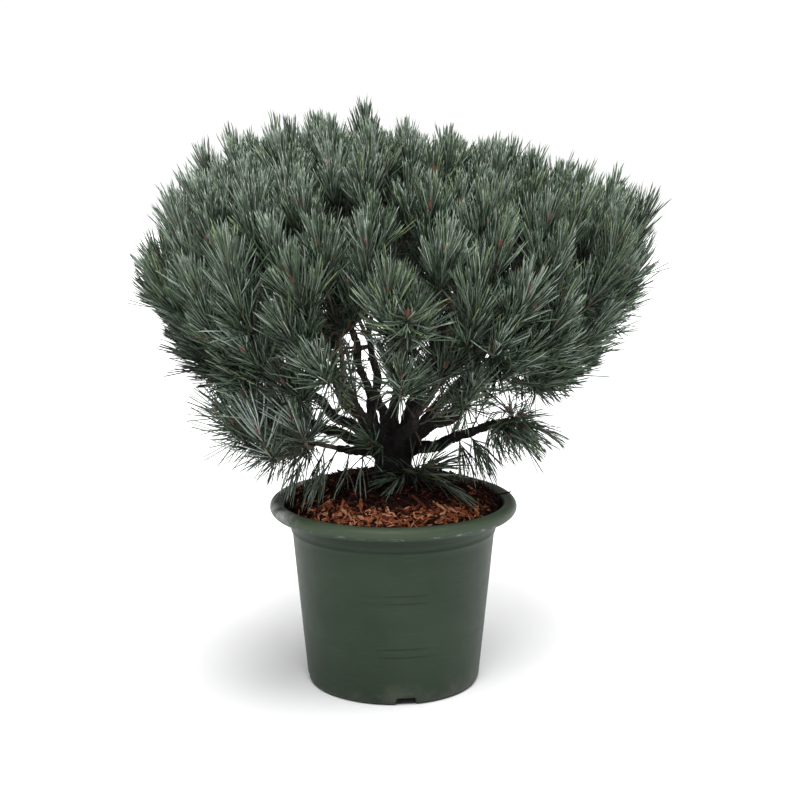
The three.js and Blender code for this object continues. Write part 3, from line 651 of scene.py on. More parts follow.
def carveBark(mesh):
    # cracks between plates, deep on the trunk and shallow towards the tips
    noise.seed_set(limbs["warpSeed"])  # noise_vector differs from run to run without it
    count = len(mesh.vertices)
    co, normals = np.empty(count * 3), np.empty(count * 3)
    mesh.vertices.foreach_get("co", co)
    mesh.vertices.foreach_get("normal", normals)
    co, normals = co.reshape(-1, 3) * 1000, normals.reshape(-1, 3)
    outward = np.clip((np.hypot(co[:, 0], co[:, 1]) - 30) / 200, 0, 1)
    relief = np.empty(count)
    for i, (x, y, z) in enumerate(co):
        p = Vector((x, y, z * 0.6)) * limbs["plateScale"]
        near = noise.voronoi(p + noise.noise_vector(p * 0.8) * 0.6)[0]
        crack = min((near[1] - near[0]) * 3.2, 1.0)
        fine = noise.fractal(p * 4, 0.7, 2.0, 3)
        relief[i] = (crack - 0.75) * limbs["plateDepth"] + limbs["fineDepth"] * fine
    co += normals * (relief * (1 - 0.62 * outward))[:, None]
    mesh.vertices.foreach_set("co", (co / 1000).ravel().astype(np.float32))
    mesh.polygons.foreach_set("use_smooth", np.ones(len(mesh.polygons), dtype=bool))
    mesh.update()


def makeLimbs():
    rng = np.random.default_rng(5)
    parts = [trunkTube()]
    for name in boughs:
        parts += boughTubes(name, rng)
    at, offsets, radii = limbs["stub"]
    parts.append(tube(boughBend("bough_right_front").at(at) + np.array(offsets), radii, 10))
    piece = meshFrom("barkLimbs", *join(parts))
    remesh = piece.modifiers.new("remesh", "REMESH")
    remesh.mode = "VOXEL"
    remesh.voxel_size = limbs["voxel"] / 1000
    smooth = piece.modifiers.new("smooth", "SMOOTH")
    smooth.factor = 0.5
    smooth.iterations = 3
    mesh = bakeModifiers(piece)
    carveBark(mesh)
    print("limbs carved:", len(mesh.polygons), "faces")
    return piece


def barkFinish():
    bark = Finish("pineBark", Roughness=0.92, Specular_IOR_Level=0.2)
    coarse = bark.noise(38, 5, 0.6)
    fine = bark.noise(260, 4, 0.6)
    flakes = bark.node("ShaderNodeTexVoronoi", {"feature": "DISTANCE_TO_EDGE"}, {
        "Vector": bark.stretched(1, 1, 0.55), "Scale": 95.0, "Randomness": 1.0})
    plate = bark.range(flakes, 0.0, 0.16)
    warm = bark.mix(bark.range(coarse, 0.38, 0.66), limbs["barkDark"], limbs["barkWarm"])
    grey = bark.mix(bark.range(fine, 0.5, 0.8), warm, limbs["barkGrey"])
    # painted shade: the bark darkens towards the trunk's foot, where the crown shades it
    high = bark.range(bark.split(bark.place(), 2), *limbs["paintedShadeBelow"])
    plain = bark.mix(high, limbs["footPaintedShade"], grey)
    bark.feed("Base Color", bark.mix(plate, limbs["crack"], plain))
    bark.bump(plate * 0.6 + fine * 0.5, 0.8, 0.0016)
    return bark


# Twigs: first and last radius of each kind
twigs = {
    "stem": (4.0, 3.4), "twig": (2.9, 2.3), "shoot": (2.2, 1.5), "sideShoot": (1.8, 1.1), "spur": (1.5, 0.8),
    "scar": 0.09, "pitch": 7.0,
    "rind": (0.055, 0.036, 0.022), "rindPale": (0.13, 0.085, 0.045), "rindDark": (0.035, 0.024, 0.016),
}


def twigTube(path, kind, seed, sides=6):
    length = np.linalg.norm(np.diff(path.at(np.linspace(0, 1, 6)), axis=0), axis=1).sum()
    count = max(int(length / twigs["pitch"]), 3)
    share = np.linspace(0, 1, count)
    first, last = twigs[kind]
    radii = first + (last - first) * share
    rough = 1 + twigs["scar"] * np.random.default_rng(seed).uniform(-1, 1, (count, sides))
    return tube(path.at(share), radii[:, None] * rough, sides)


def twigFinish():
    rind = Finish("twigRind", Roughness=0.8)
    scales = rind.noise(420, 4, 0.6)
    streak = rind.noise(60, 3)
    base = rind.mix(rind.range(streak, 0.35, 0.65), twigs["rind"], twigs["rindPale"])
    rind.feed("Base Color", rind.mix(rind.range(scales, 0.3, 0.75), twigs["rindDark"], base))
    rind.bump(scales, 0.6, 0.0006)
    return rind


# Side shoots: each shoot of the rule carries a whorl of shorter ones, so that the crown closes between them
sideShoots = {"lean": (22, 46), "length": (36, 50), "at": (-0.5, 0.05), "lift": 1.0}


def sideShootsOf(shoot, rng):
    made = []
    count = max(shoot["sides"] - int(rng.integers(0, 2)), 0)
    phase = rng.uniform(0, 2 * math.pi)
    across, third = crossWays(shoot["axis"], (0.21, 0.35, 0.1))
    for k in range(count):
        turn = phase + 2 * math.pi * k / count + rng.uniform(-0.4, 0.4)
        lean = math.radians(rng.uniform(*sideShoots["lean"]))
        at = rng.uniform(*sideShoots["at"]) * (0.3 if shoot["hang"] > 0 else 1)
        spoke = across * math.cos(turn) + third * math.sin(turn)
        way = unit(shoot["axis"] * math.cos(lean) + spoke * math.sin(lean))
        length = rng.uniform(*sideShoots["length"])
        if at < 0:  # below the foot it leaves the twig
            twig = shoot["knot"] - shoot["foot"]
            root = shoot["foot"] + twig * min(-at * crown["shootLength"] / np.linalg.norm(twig), 0.8)
        else:
            root = shoot["foot"] + (shoot["bud"] - shoot["foot"]) * at
        bend = root + way * length * 0.5
        end = bend + unit(way + up * sideShoots["lift"] * (1 - shoot["hang"])) * length * 0.5
        azimuth, angle = anglesTo(end)
        if not inWindow(azimuth, angle + 6):
            made.append({"path": Bend(root, bend, end), "axis": unit(end - bend)})
    return made


# Spurs: thin old twigs on the boughs inside the crown, some bare and some with a few needles
spurRule = {
    "perBough": 9, "from": 0.3, "to": 0.97, "length": (26, 78), "leafy": 0.5,
    "lowestFront": 395, "lowestBack": 348,
    # limb, place along it or height on the trunk, azimuth, angle, length, fullness
    "placed": [
        ("bough_right_low", 0.7, -14, -56, 32, 2.6), ("bough_right_low", 0.98, -8, -30, 52, 1.6),
        ("bough_right_low", 0.9, -60, -30, 30, 1.3), ("bough_right_low", 0.6, -60, -66, 24, 1.6),
        ("trunk", 338, -38, -12, 86, 1.9),
        ("bough_low_left", 0.4, -92, -36, 48, 0.9), ("bough_low_left", 0.7, -100, -40, 56, 1.0),
        ("bough_low_left", 0.95, -120, -34, 62, 1.1), ("needles_low_left", 0.12, -112, -44, 54, 1.0),
        ("needles_low_left", 0.26, -132, -46, 52, 1.0), ("needles_low_left", 0.4, -118, -50, 44, 0.9),
        ("needles_low_left", 0.55, -140, -44, 44, 0.8),
        ("bough_back", 0.98, 150, 62, 90, 4.5), ("bough_back", 0.95, 96, 38, 112, 5.0),
        ("bough_back_right", 0.95, 110, 44, 100, 4.5), ("bough_right_front", 0.97, -30, -12, 70, 2.6)],
}


def placedSpurs():
    made = []
    curves = {name: boughBend(name) for name in boughs}
    curves.update((mass["name"], mass["path"]) for mass in masses)
    for name, at, azimuth, angle, length, full in spurRule["placed"]:
        way = heading(azimuth, angle)
        if name == "trunk":
            root = up * at + heading(azimuth, 0) * (trunk["waist"] - 4)
        else:
            root = curves[name].at(at)
        path = Bend(root, root + way * length * 0.5 + up * 3, root + way * length)
        made.append({"path": path, "leafy": True, "hang": 0.0 if angle > 20 else 1.0, "full": full})
    return made


def spurs(rng):
    made = placedSpurs()
    for name in boughs:
        if boughs[name][1] < 5:
            continue
        curve = boughBend(name)
        for at in np.linspace(spurRule["from"], spurRule["to"], spurRule["perBough"]):
            root = curve.at(at + rng.uniform(-0.03, 0.03))
            along = unit(curve.at(min(at + 0.02, 1.0)) - curve.at(at - 0.02))
            side = unit(np.cross(along, rng.normal(size=3)))
            way = unit(side + along * rng.uniform(0.1, 0.9) + up * 0.15)
            length = rng.uniform(*spurRule["length"])
            end = root + way * length + up * rng.uniform(-8, 12)
            azimuth, angle = anglesTo(end)
            lowest = spurRule["lowestFront" if end[1] < 0 else "lowestBack"]
            if inWindow(azimuth, angle - 4) or end[2] < lowest:
                continue
            made.append({"path": Bend(root, root + way * length * 0.5 + rng.normal(0, 4, 3), end),
                         "leafy": rng.random() < spurRule["leafy"], "hang": 0.3,
                         "full": rng.uniform(0.6, 1.5)})
    return made


# Mulch: the mound's shape, which the needles stay clear of
mulch = {
    "edge": 286, "tilt": 2, "mound": 312, "flat": 46, "radius": 166.7, "settle": 145, "lip": 281,
    "bedRings": 70, "bedRound": 200, "bedFoot": 264.0, "bedBump": 3.0, "bedColour": (0.020, 0.009, 0.007),
}


def mulchHeight(x, y):
    radius = np.hypot(x, y)
    share = np.clip((radius - mulch["flat"]) / (mulch["radius"] - mulch["flat"]), 0, 1) ** 3
    rim = mulch["edge"] + mulch["tilt"] * y / mulch["radius"]
    settle = np.clip((radius - mulch["settle"]) / (mulch["radius"] - mulch["settle"]), 0, 1) ** 2
    return mulch["mound"] - (mulch["mound"] - rim) * share - (rim - mulch["lip"]) * 0.85 * settle


# Needles: how many pairs stand on each kind of shoot, how they splay from foot to tip, and how long they are
needles = {
    "main": {"pairs": 54, "splay": (48, 15), "length": (52, 84), "from": -0.45, "rise": 0.6},
    "side": {"pairs": 31, "splay": (46, 16), "length": (46, 75), "from": 0.0, "rise": 0.6},
    "inner": {"pairs": 27, "splay": (76, 44), "length": (42, 58), "from": 0.0, "rise": 0.45},
    "skirt": {"pairs": 42, "splay": (60, 22), "length": (74, 96), "from": -0.5, "rise": 0.3},
    "star": {"pairs": 60, "splay": (104, 50), "length": (58, 78), "from": 0.1, "rise": 0.0},
    "tail": {"pairs": 28, "splay": (44, 14), "length": (48, 64), "from": -0.3, "rise": 0.0},
    "spur": {"pairs": 8, "splay": (70, 25), "length": (42, 56), "from": 0.3, "rise": 0.4},
    "hanging": {"pairs": 8, "splay": (48, 12), "length": (56, 84), "from": 0.15, "rise": 0.0},
    "width": 2.0, "thickness": 1.1, "stations": (0, 0.42, 0.86, 1),
    "innerReach": (40, 92),  # how far back along its twig a low and a high shoot still holds old needles
    "pairAngle": 4.5, "bow": 0.22, "jitter": 13, "tipShort": 0.2,
    # the last share here is of the low left skirt's shoots that take the pale tint, which is painted light
    # the second-last share here is of needles near a shoot's foot that take the darker foot tint, which is
    # painted shade
    "topShort": 0.17, "leaderSize": 0.86, "lowDroop": 0.5, "paintedFootShade": 0.8, "pale": 0.75,
    "mostFaces": 195000,  # in one piece
    "rimTop": 288, "rimRadius": 192,  # needles stay above the pot's rim and the mulch
    "near": 12,  # how close a bud is to the place of the star or the leader
}
# colour, the darker tint of the needles at a shoot's foot, which paints shade at the base of each plume, and
# the shares of stray needles in other tints
tints = {
    # pale: a lighter copy of the frost tint, painted light for the low left skirt in the dome's shade
    "pale": ((0.360, 0.410, 0.385), "frost",
             {"frost": 0.3, "greyGreen": 0.2, "green": 0.12, "withered": 0.01}),
    "frost": ((0.240, 0.292, 0.243), "green",
              {"greyGreen": 0.22, "green": 0.16, "fresh": 0.02, "shade": 0.06, "withered": 0.004}),
    "greyGreen": ((0.142, 0.186, 0.137), "green",
                  {"frost": 0.22, "green": 0.24, "fresh": 0.05, "shade": 0.08, "withered": 0.004}),
    "green": ((0.064, 0.101, 0.058), "shade",
              {"greyGreen": 0.26, "frost": 0.12, "fresh": 0.07, "shade": 0.12, "withered": 0.004}),
    "fresh": ((0.190, 0.245, 0.110), "green", {}),
    "shade": ((0.020, 0.031, 0.018), "shade", {"green": 0.26, "withered": 0.01}),
    "withered": ((0.090, 0.056, 0.032), "withered", {}),
}
starWay = heading(*crown["frontShoots"][0])
starBud = crown["focus"] + starWay * (reachTowards(starWay) - crown["overhang"])
leaderWay = heading(*crown["leader"][:2])
leaderBud = crown["focus"] + leaderWay * (reachTowards(leaderWay) - crown["overhang"] + crown["leader"][2])


def needleRoots(kind, start, end, path, below, full, hang, rng):
    spec = needles[kind]
    pairs = max(int(spec["pairs"] * full * rng.uniform(0.85, 1.15)), 3)
    t = spec["from"] + (1 - spec["from"]) * np.sort(rng.uniform(0, 1, pairs) ** 0.75)
    along = unit(end - start)
    middle = start + (end - start) * t[:, None] if path is None else path.at(np.clip(t, 0, 1))
    if below is not None:  # needles below the shoot's foot stand on its twig
        lower = 1 + t * crown["shootLength"] / np.linalg.norm(below.end - below.start)
        middle = np.where(t[:, None] < 0, below.at(np.clip(lower, 0.1, 1)), middle)
    turn = np.arange(pairs) * goldenAngle + rng.uniform(-0.5, 0.5, pairs)
    across, third = crossWays(along, (0.27, 0.31, 0.11))
    spoke = np.cos(turn)[:, None] * across + np.sin(turn)[:, None] * third
    share = np.clip(t, 0, 1)
    splay = spec["splay"][0] + (spec["splay"][1] - spec["splay"][0]) * share ** 0.9
    splay = splay * rng.uniform(0.85, 1.15) + rng.normal(0, needles["jitter"], pairs)
    splay = np.radians(np.clip(splay, 3, 105))[:, None]
    length = rng.uniform(*spec["length"], pairs) * rng.uniform(0.93, 1.05)
    length = length * (1 - needles["tipShort"] * share ** 1.5)
    spread = math.tan(math.radians(needles["pairAngle"]))
    ways, lengths = [], []
    for side in (-1, 1):
        apart = side * spread * np.cross(along, spoke) * rng.uniform(0.5, 1.8, pairs)[:, None]
        ways.append(unit(np.cos(splay) * along + np.sin(splay) * spoke + apart
                         + up * (spec["rise"] * (1 - hang))))
        lengths.append(length * rng.uniform(0.95, 1.03, pairs))
    roots = np.tile(middle + spoke * 1.2, (2, 1))
    return roots, np.vstack(ways), np.concatenate(lengths), np.tile(along, (2 * pairs, 1)), np.tile(share, 2)


def needleMesh(roots, ways, lengths, alongs, sag, rng):
    count, stations = len(roots), needles["stations"]
    bow = alongs * rng.uniform(0.3, 1.7, count)[:, None] + rng.normal(0, 0.35, (count, 3)) - up * sag[:, None]
    bow = bow - ways * np.einsum("ij,ij->i", bow, ways)[:, None]
    bow = bow * (lengths * needles["bow"])[:, None]
    across, third = crossWays(ways, rng.normal(size=(count, 3)))
    width = needles["width"] * rng.uniform(0.88, 1.12, count)[:, None]
    thick = needles["thickness"]
    rings = []
    for s in stations[:-1]:
        centre = roots + ways * (lengths * s)[:, None] + bow * s ** 2
        girth = 0.8 if s == 0 else 1 - 0.3 * s ** 4
        half = across * width * girth / 2
        rings += [centre - half, centre + half, centre - third * thick * girth]
    rings.append(roots + ways * lengths[:, None] + bow)
    points = np.stack(rings, 1)
    per = points.shape[1]
    faces = []
    for ring in range(len(stations) - 2):
        for k in range(3):
            a, b = ring * 3 + k, ring * 3 + (k + 1) % 3
            faces += [(a, b, b + 3), (a, b + 3, a + 3)]
    last = (len(stations) - 2) * 3
    faces += [(last + k, last + (k + 1) % 3, per - 1) for k in range(3)]
    faces = np.array(faces)[None] + (np.arange(count) * per)[:, None, None]
    return points.reshape(-1, 3), faces.reshape(-1, 3)


def tintShares(side, light):
    # frost, greyGreen, green and shade: bluer on the left, greener on the right, darker low down. The bluer
    # and greener hues are the needles' own; the darker tints on the right and low down are painted shade, the
    # paler ones painted light
    high = np.array([0.38 - 0.32 * side, 0.4, 0.38 + 0.34 * side, 0.0])
    low = np.array([0.2 + 0.28 * side ** 2 * (side > 0), 0.36 + 0.1 * side, 0.5 - 0.3 * side,
                    0.26 - 0.26 * side])
    shares = low + (high - low) * light
    return shares / shares.sum()


class Foliage:
    # gathers the needles by tint, the twigs and the buds
    def __init__(self):
        self.rng = np.random.default_rng(21)
        self.gathered, self.wood, self.buds = {}, [], []

    def spray(self, kind, tint, start, end, path=None, hang=0.0, full=1.0, below=None, size=1.0):
        roots, ways, lengths, alongs, place = needleRoots(kind, start, end, path, below, full, hang, self.rng)
        lengths = lengths * size
        # painted shade: needles near a shoot's foot take the darker foot tint
        atFoot = self.rng.random(len(roots)) < needles["paintedFootShade"] * (1 - place)
        x, y, z = (roots + ways * lengths[:, None]).T
        ground = np.maximum(mulchHeight(x, y), needles["rimTop"]) + 3
        keep = (np.hypot(x, y) > needles["rimRadius"]) | (z > ground)
        sag = np.full(len(roots), 1.4 * hang - 0.4)
        strays = tints[tint][2]
        names = [tint, *strays]
        dealt = self.rng.choice(len(names), len(roots), p=[1 - sum(strays.values()), *strays.values()])
        for index, name in enumerate(names):
            for chosen, pick in ((name, ~atFoot), (tints[name][1], atFoot)):
                pick = pick & (dealt == index) & keep
                self.gathered.setdefault(chosen, []).append(
                    [values[pick] for values in (roots, ways, lengths, alongs, sag)])

    def dress(self, mass, shoot):
        rng = self.rng
        seed = int(rng.integers(1 << 30))
        foot, bud, knot, axis, hang = (shoot[key] for key in ("foot", "bud", "knot", "axis", "hang"))
        reach = np.linalg.norm(foot - knot)
        twig = Bend(knot, knot + (foot - knot) * 0.62 - axis * reach * 0.1, foot)
        self.wood.append(twigTube(twig, "twig", seed))
        self.wood.append(twigTube(Bend(foot, (foot + bud) / 2, bud), "shoot", seed + 1))
        star = np.linalg.norm(bud - starBud) < needles["near"]
        leads = np.linalg.norm(bud - leaderBud) < needles["near"]
        self.buds.append((bud, axis, 1.15 if star else 1.0))
        slope = anglesTo(foot)[1]
        light = smoothstep(slope, 26, 44)
        # painted light and shade: how high the shoot stands and which side it is on choose lighter or darker
        # tints
        shares = tintShares(np.clip(foot[0] / 320, -1, 1), light)
        tint = ["frost", "greyGreen", "green", "shade"][int(rng.choice(4, p=shares))]
        # painted light: most of the low left skirt's shoots take the pale tint, so that the skirt looks lit
        # under the dome
        if mass["name"] == "needles_low_left" and rng.random() < needles["pale"]:
            tint = "pale"
        kind = {"needles_low_right": "tail", "needles_low_left": "skirt"}.get(mass["name"], "main")
        if star:
            kind = "star"
        if leads:
            tint = "green"
        droop = max(hang, needles["lowDroop"] * (1 - light))
        size = needles["leaderSize"] if leads else 1 - needles["topShort"] * smoothstep(slope, 38, 62)
        self.spray(kind, tint, foot, bud, None, droop, shoot["full"], twig, size)
        innerReach = np.interp(smoothstep(slope, 33, 45), (0, 1), needles["innerReach"])
        innerStart = foot + (knot - foot) * min(innerReach / max(reach, 1), 0.9)
        self.spray("inner", "shade", innerStart, foot, None, hang, shoot["full"])
        for extra in sideShootsOf(shoot, rng):
            path = extra["path"]
            self.wood.append(twigTube(path, "sideShoot", seed + 2, 5))
            self.buds.append((path.end, extra["axis"], 0.75))
            other = tint if rng.random() < 0.7 else ["frost", "greyGreen", "green"][int(rng.integers(3))]
            self.spray("side", other, path.start, path.end, path, droop, shoot["full"], None, size)

    def dressSpur(self, spur):
        path, hangs = spur["path"], spur["hang"] > 0.9
        self.wood.append(twigTube(path, "spur", int(self.rng.integers(1 << 30)), 5))
        if spur["leafy"]:
            tint = "frost" if hangs and path.start[0] < 0 else "green"
            kind = "hanging" if hangs else "spur"
            self.spray(kind, tint, path.start, path.end, path, spur["hang"], spur["full"])

    def grow(self):
        for index, mass in enumerate(masses):
            if mass["shoots"]:
                self.wood.append(twigTube(mass["path"], "stem", index))
            for shoot in mass["shoots"]:
                self.dress(mass, shoot)
        for spur in spurs(self.rng):
            self.dressSpur(spur)
        return {tint: needleMesh(*(np.concatenate(column) for column in zip(*groups)), self.rng)
                for tint, groups in self.gathered.items()}


def needleFinish(name, colour):
    waxy = Finish(name, Specular_IOR_Level=0.3)
    mottle = waxy.noise(60, 3)
    pale = [min(c * 1.22 + 0.012, 1) for c in colour]
    deep = [c * 0.72 for c in colour]
    waxy.feed("Base Color", waxy.mix(waxy.range(mottle, 0.3, 0.7), deep, pale))
    waxy.feed("Roughness", 0.4 + waxy.noise(180, 2) * 0.22)
    return waxy


def makeNeedles(sprays):
    made = []
    for tint, (points, faces) in sprays.items():
        shares = math.ceil(len(faces) / needles["mostFaces"])
        per = math.ceil(len(faces) / shares)
        finish = needleFinish("needles_" + tint, tints[tint][0])
        for part in range(shares):
            some = faces[part * per:(part + 1) * per]
            used, inverse = np.unique(some, return_inverse=True)
            made.append(meshFrom(f"needles_{tint}_{part + 1}", points[used], inverse.reshape(some.shape)))
            finish.on(made[-1])
    massNodes = [m["name"] for m in masses if m["shoots"] and m["name"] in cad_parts]
    for i, piece in enumerate(made):
        rides(piece, "needles", *(massNodes if i == 0 else ()))
    print("needles grown:", sum(len(faces) for points, faces in sprays.values()), "faces")


# Buds: a brown cone on each shoot, with smaller ones round it
bud = {
    "length": 15.0, "radius": 3.6, "sides": 7, "places": (0, 0.12, 0.35, 0.62, 0.85, 1.0),
    "girths": (0.6, 0.95, 1.0, 0.78, 0.4, 0.1), "dark": (0.085, 0.022, 0.015), "pale": (0.22, 0.078, 0.046),
}


def makeBuds(places):
    rng = np.random.default_rng(3)
    parts = []
    share, girths = np.array(bud["places"]), np.array(bud["girths"])
    for at, axis, size in places:
        members = [(axis, 1.0)]
        for _ in range(int(rng.integers(1, 4)) if size > 0.9 else 0):
            members.append((unit(axis + rng.normal(0, 0.45, 3)), 0.62))
        for way, part in members:
            scale = size * part * rng.uniform(0.85, 1.15)
            rough = 1 + 0.08 * rng.uniform(-1, 1, (len(share), bud["sides"]))
            girth = bud["radius"] * scale * girths
            points = at + way * (share * (bud["length"] * scale) - 1.5)[:, None]
            parts.append(tube(points, girth[:, None] * rough, bud["sides"]))
    piece = rides(meshFrom("buds", *join(parts)), "bark")
    scaly = Finish("budScales", Roughness=0.55)
    flecks = scaly.noise(700, 3, 0.6)
    scaly.feed("Base Color", scaly.mix(scaly.range(flecks, 0.35, 0.7), bud["dark"], bud["pale"]))
    scaly.bump(flecks, 0.5, 0.0005)
    scaly.on(piece)
    print("buds made:", len(piece.data.polygons), "faces")


foliage = Foliage()
makeNeedles(foliage.grow())
twigPiece = rides(meshFrom("twigs", *join(foliage.wood)), "bark")
twigFinish().on(twigPiece)
print("twigs made:", len(twigPiece.data.polygons), "faces")
makeBuds(foliage.buds)
barkFinish().on(rides(makeLimbs(), "bark", "trunk", *boughs))


# Pot: a fine lathe of the same profile as the solid
pot = {
    "rim": 191.5, "roll": 11, "rollHeight": 278.5, "collar": 168, "collarHeight": 265.5,
    "body": 157.8, "bodyHeight": 242.6, "foot": 135.2, "footRound": 9, "wall": 3, "floorLift": 8,
    "ring": 103, "pad": 46, "segments": 200,
    "notches": 4, "notchWidth": 30, "notchAzimuth": -82, "holes": 6, "holeRadius": 6,
    "mouldLines": (78, 91, 164, 176), "mouldDepth": 0.25,
    "bead": [(-0.7, -4.5), (0.6, -2.4), (1.6, -0.2), (1.4, 1.6), (0.9, 3.2), (1.0, 6.0), (2.4, 11.2)],
    "flare": [(-3.6, -5.6), (-1.2, -2.5), (0, -0.4), (1.0, 1.4), (4.5, 2.3)],
    "green": (0.0142, 0.0272, 0.0138), "greenPale": (0.0188, 0.0350, 0.0182), "streak": (0.032, 0.048, 0.032),
    # the colour under the lip is painted shade
    "mould": (0.004, 0.009, 0.005), "paintedShadeUnderLip": (0.005, 0.0105, 0.005), "low": (0.006, 0.012, 0.006),
    # the rim's green is a painted sheen on the rim's top
    # the scuff colour paints scratches and a highlight along the roll
    "rimPaintedLight": (0.074, 0.102, 0.062), "worn": (0.16, 0.19, 0.16), "scuffAndHighlight": (0.24, 0.27, 0.24),
    "dust": (0.47, 0.46, 0.47), "splash": (0.10, 0.095, 0.08),
}


def potProfile():
    p = pot
    out = [(0, 0), (p["pad"], 0), (p["pad"] + 3, p["floorLift"])]
    out += [(p["ring"] - 3, p["floorLift"]), (p["ring"], 0)]
    for turn in range(-90, 1, 10):
        a = math.radians(turn)
        out.append((p["foot"] - p["footRound"] * (1 - math.cos(a)), p["footRound"] * (1 + math.sin(a))))

    def slope(z):
        rise = (z - p["footRound"]) / (p["bodyHeight"] - 4 - p["footRound"])
        return p["foot"] + (p["body"] - 0.6 - p["foot"]) * rise
    for z in range(14, 236, 6):
        out.append((slope(z), z))
        for line in p["mouldLines"]:
            if z < line < z + 6:
                out += [(slope(line - 1.0), line - 1.0), (slope(line) + p["mouldDepth"], line),
                        (slope(line + 1.0), line + 1.0)]
    out += [(p["body"] + r, p["bodyHeight"] + z) for r, z in p["bead"]]
    out += [(p["collar"] + r, p["collarHeight"] + z) for r, z in p["flare"]]
    centre = p["rim"] - p["roll"]
    for turn in range(-104, 181, 12):
        a = math.radians(turn)
        out.append((centre + p["roll"] * math.cos(a), p["rollHeight"] + p["roll"] * math.sin(a)))
    inside, floorTop = centre - p["roll"], p["floorLift"] + p["wall"]
    out += [(inside, p["rollHeight"] - 6), (inside - 1.5, p["rollHeight"] - 12),
            (p["collar"] - 4, p["rollHeight"] - 18), (p["body"] - p["wall"], p["bodyHeight"] - 2),
            (p["foot"] - p["wall"], floorTop + 14), (p["foot"] - p["wall"] - 9, floorTop), (0, floorTop)]
    return out


def notchCutter(azimuth):
    outward, aside = heading(azimuth, 0), heading(azimuth + 90, 0)
    half = pot["notchWidth"] / 2
    corners = [(-half - 2, -1), (half + 2, -1), (half - 1, 12), (1 - half, 12)]
    points = [outward * out + aside * s + up * z for out in (97, 160) for s, z in corners]
    return np.array(points), np.array([
        (0, 1, 2), (0, 2, 3), (4, 6, 5), (4, 7, 6), (0, 5, 1), (0, 4, 5),
        (1, 6, 2), (1, 5, 6), (2, 7, 3), (2, 6, 7), (3, 4, 0), (3, 7, 4)])


def makePot():
    profile = np.array(potProfile())
    count, ring = len(profile), pot["segments"]
    turn = turnsOf(ring)
    radius, height = profile[1:-1, :1], profile[1:-1, 1:]
    points = np.stack([radius * np.cos(turn), radius * np.sin(turn), np.repeat(height, ring, 1)], -1)
    points = np.vstack([points.reshape(-1, 3), [(0, 0, profile[0, 1]), (0, 0, profile[-1, 1])]])
    faces = []
    for i in range(count - 3):
        for k in range(ring):
            a, b = i * ring + k, i * ring + (k + 1) % ring
            faces.append((a, b, b + ring, a + ring))
    bottom, last = len(points) - 2, (count - 3) * ring
    faces += [(bottom, (k + 1) % ring, k) for k in range(ring)]
    faces += [(bottom + 1, last + k, last + (k + 1) % ring) for k in range(ring)]
    mesh = bpy.data.meshes.new("pot")
    mesh.from_pydata((points * 0.001).tolist(), [], faces)
    piece = bpy.data.objects.new("nurseryPot", mesh)
    bpy.context.collection.objects.link(piece)

    cutters = [notchCutter(pot["notchAzimuth"] + 90 * i) for i in range(pot["notches"])]
    for i in range(pot["holes"]):
        at = heading(360 * (i + 0.5) / pot["holes"], 0) * (pot["pad"] + pot["ring"]) / 2
        cutters.append(tube([at + up * 4, at + up * 16], [pot["holeRadius"]] * 2, 20))
    cutter = meshFrom("cutter", *join(cutters), False)
    for one in (piece, cutter):
        shape = bmesh.new()
        shape.from_mesh(one.data)
        bmesh.ops.recalc_face_normals(shape, faces=shape.faces)
        shape.to_mesh(one.data)
        shape.free()
    cut = piece.modifiers.new("cut", "BOOLEAN")
    cut.object = cutter
    cut.operation = "DIFFERENCE"
    cut.solver = "EXACT"
    mesh = bakeModifiers(piece)
    bpy.data.objects.remove(cutter)
    mesh.polygons.foreach_set("use_smooth", np.ones(len(mesh.polygons), dtype=bool))
    mesh.set_sharp_from_angle(angle=math.radians(38))
    print("pot turned:", len(mesh.polygons), "faces")
    return rides(piece, "pot_plastic", "pot")


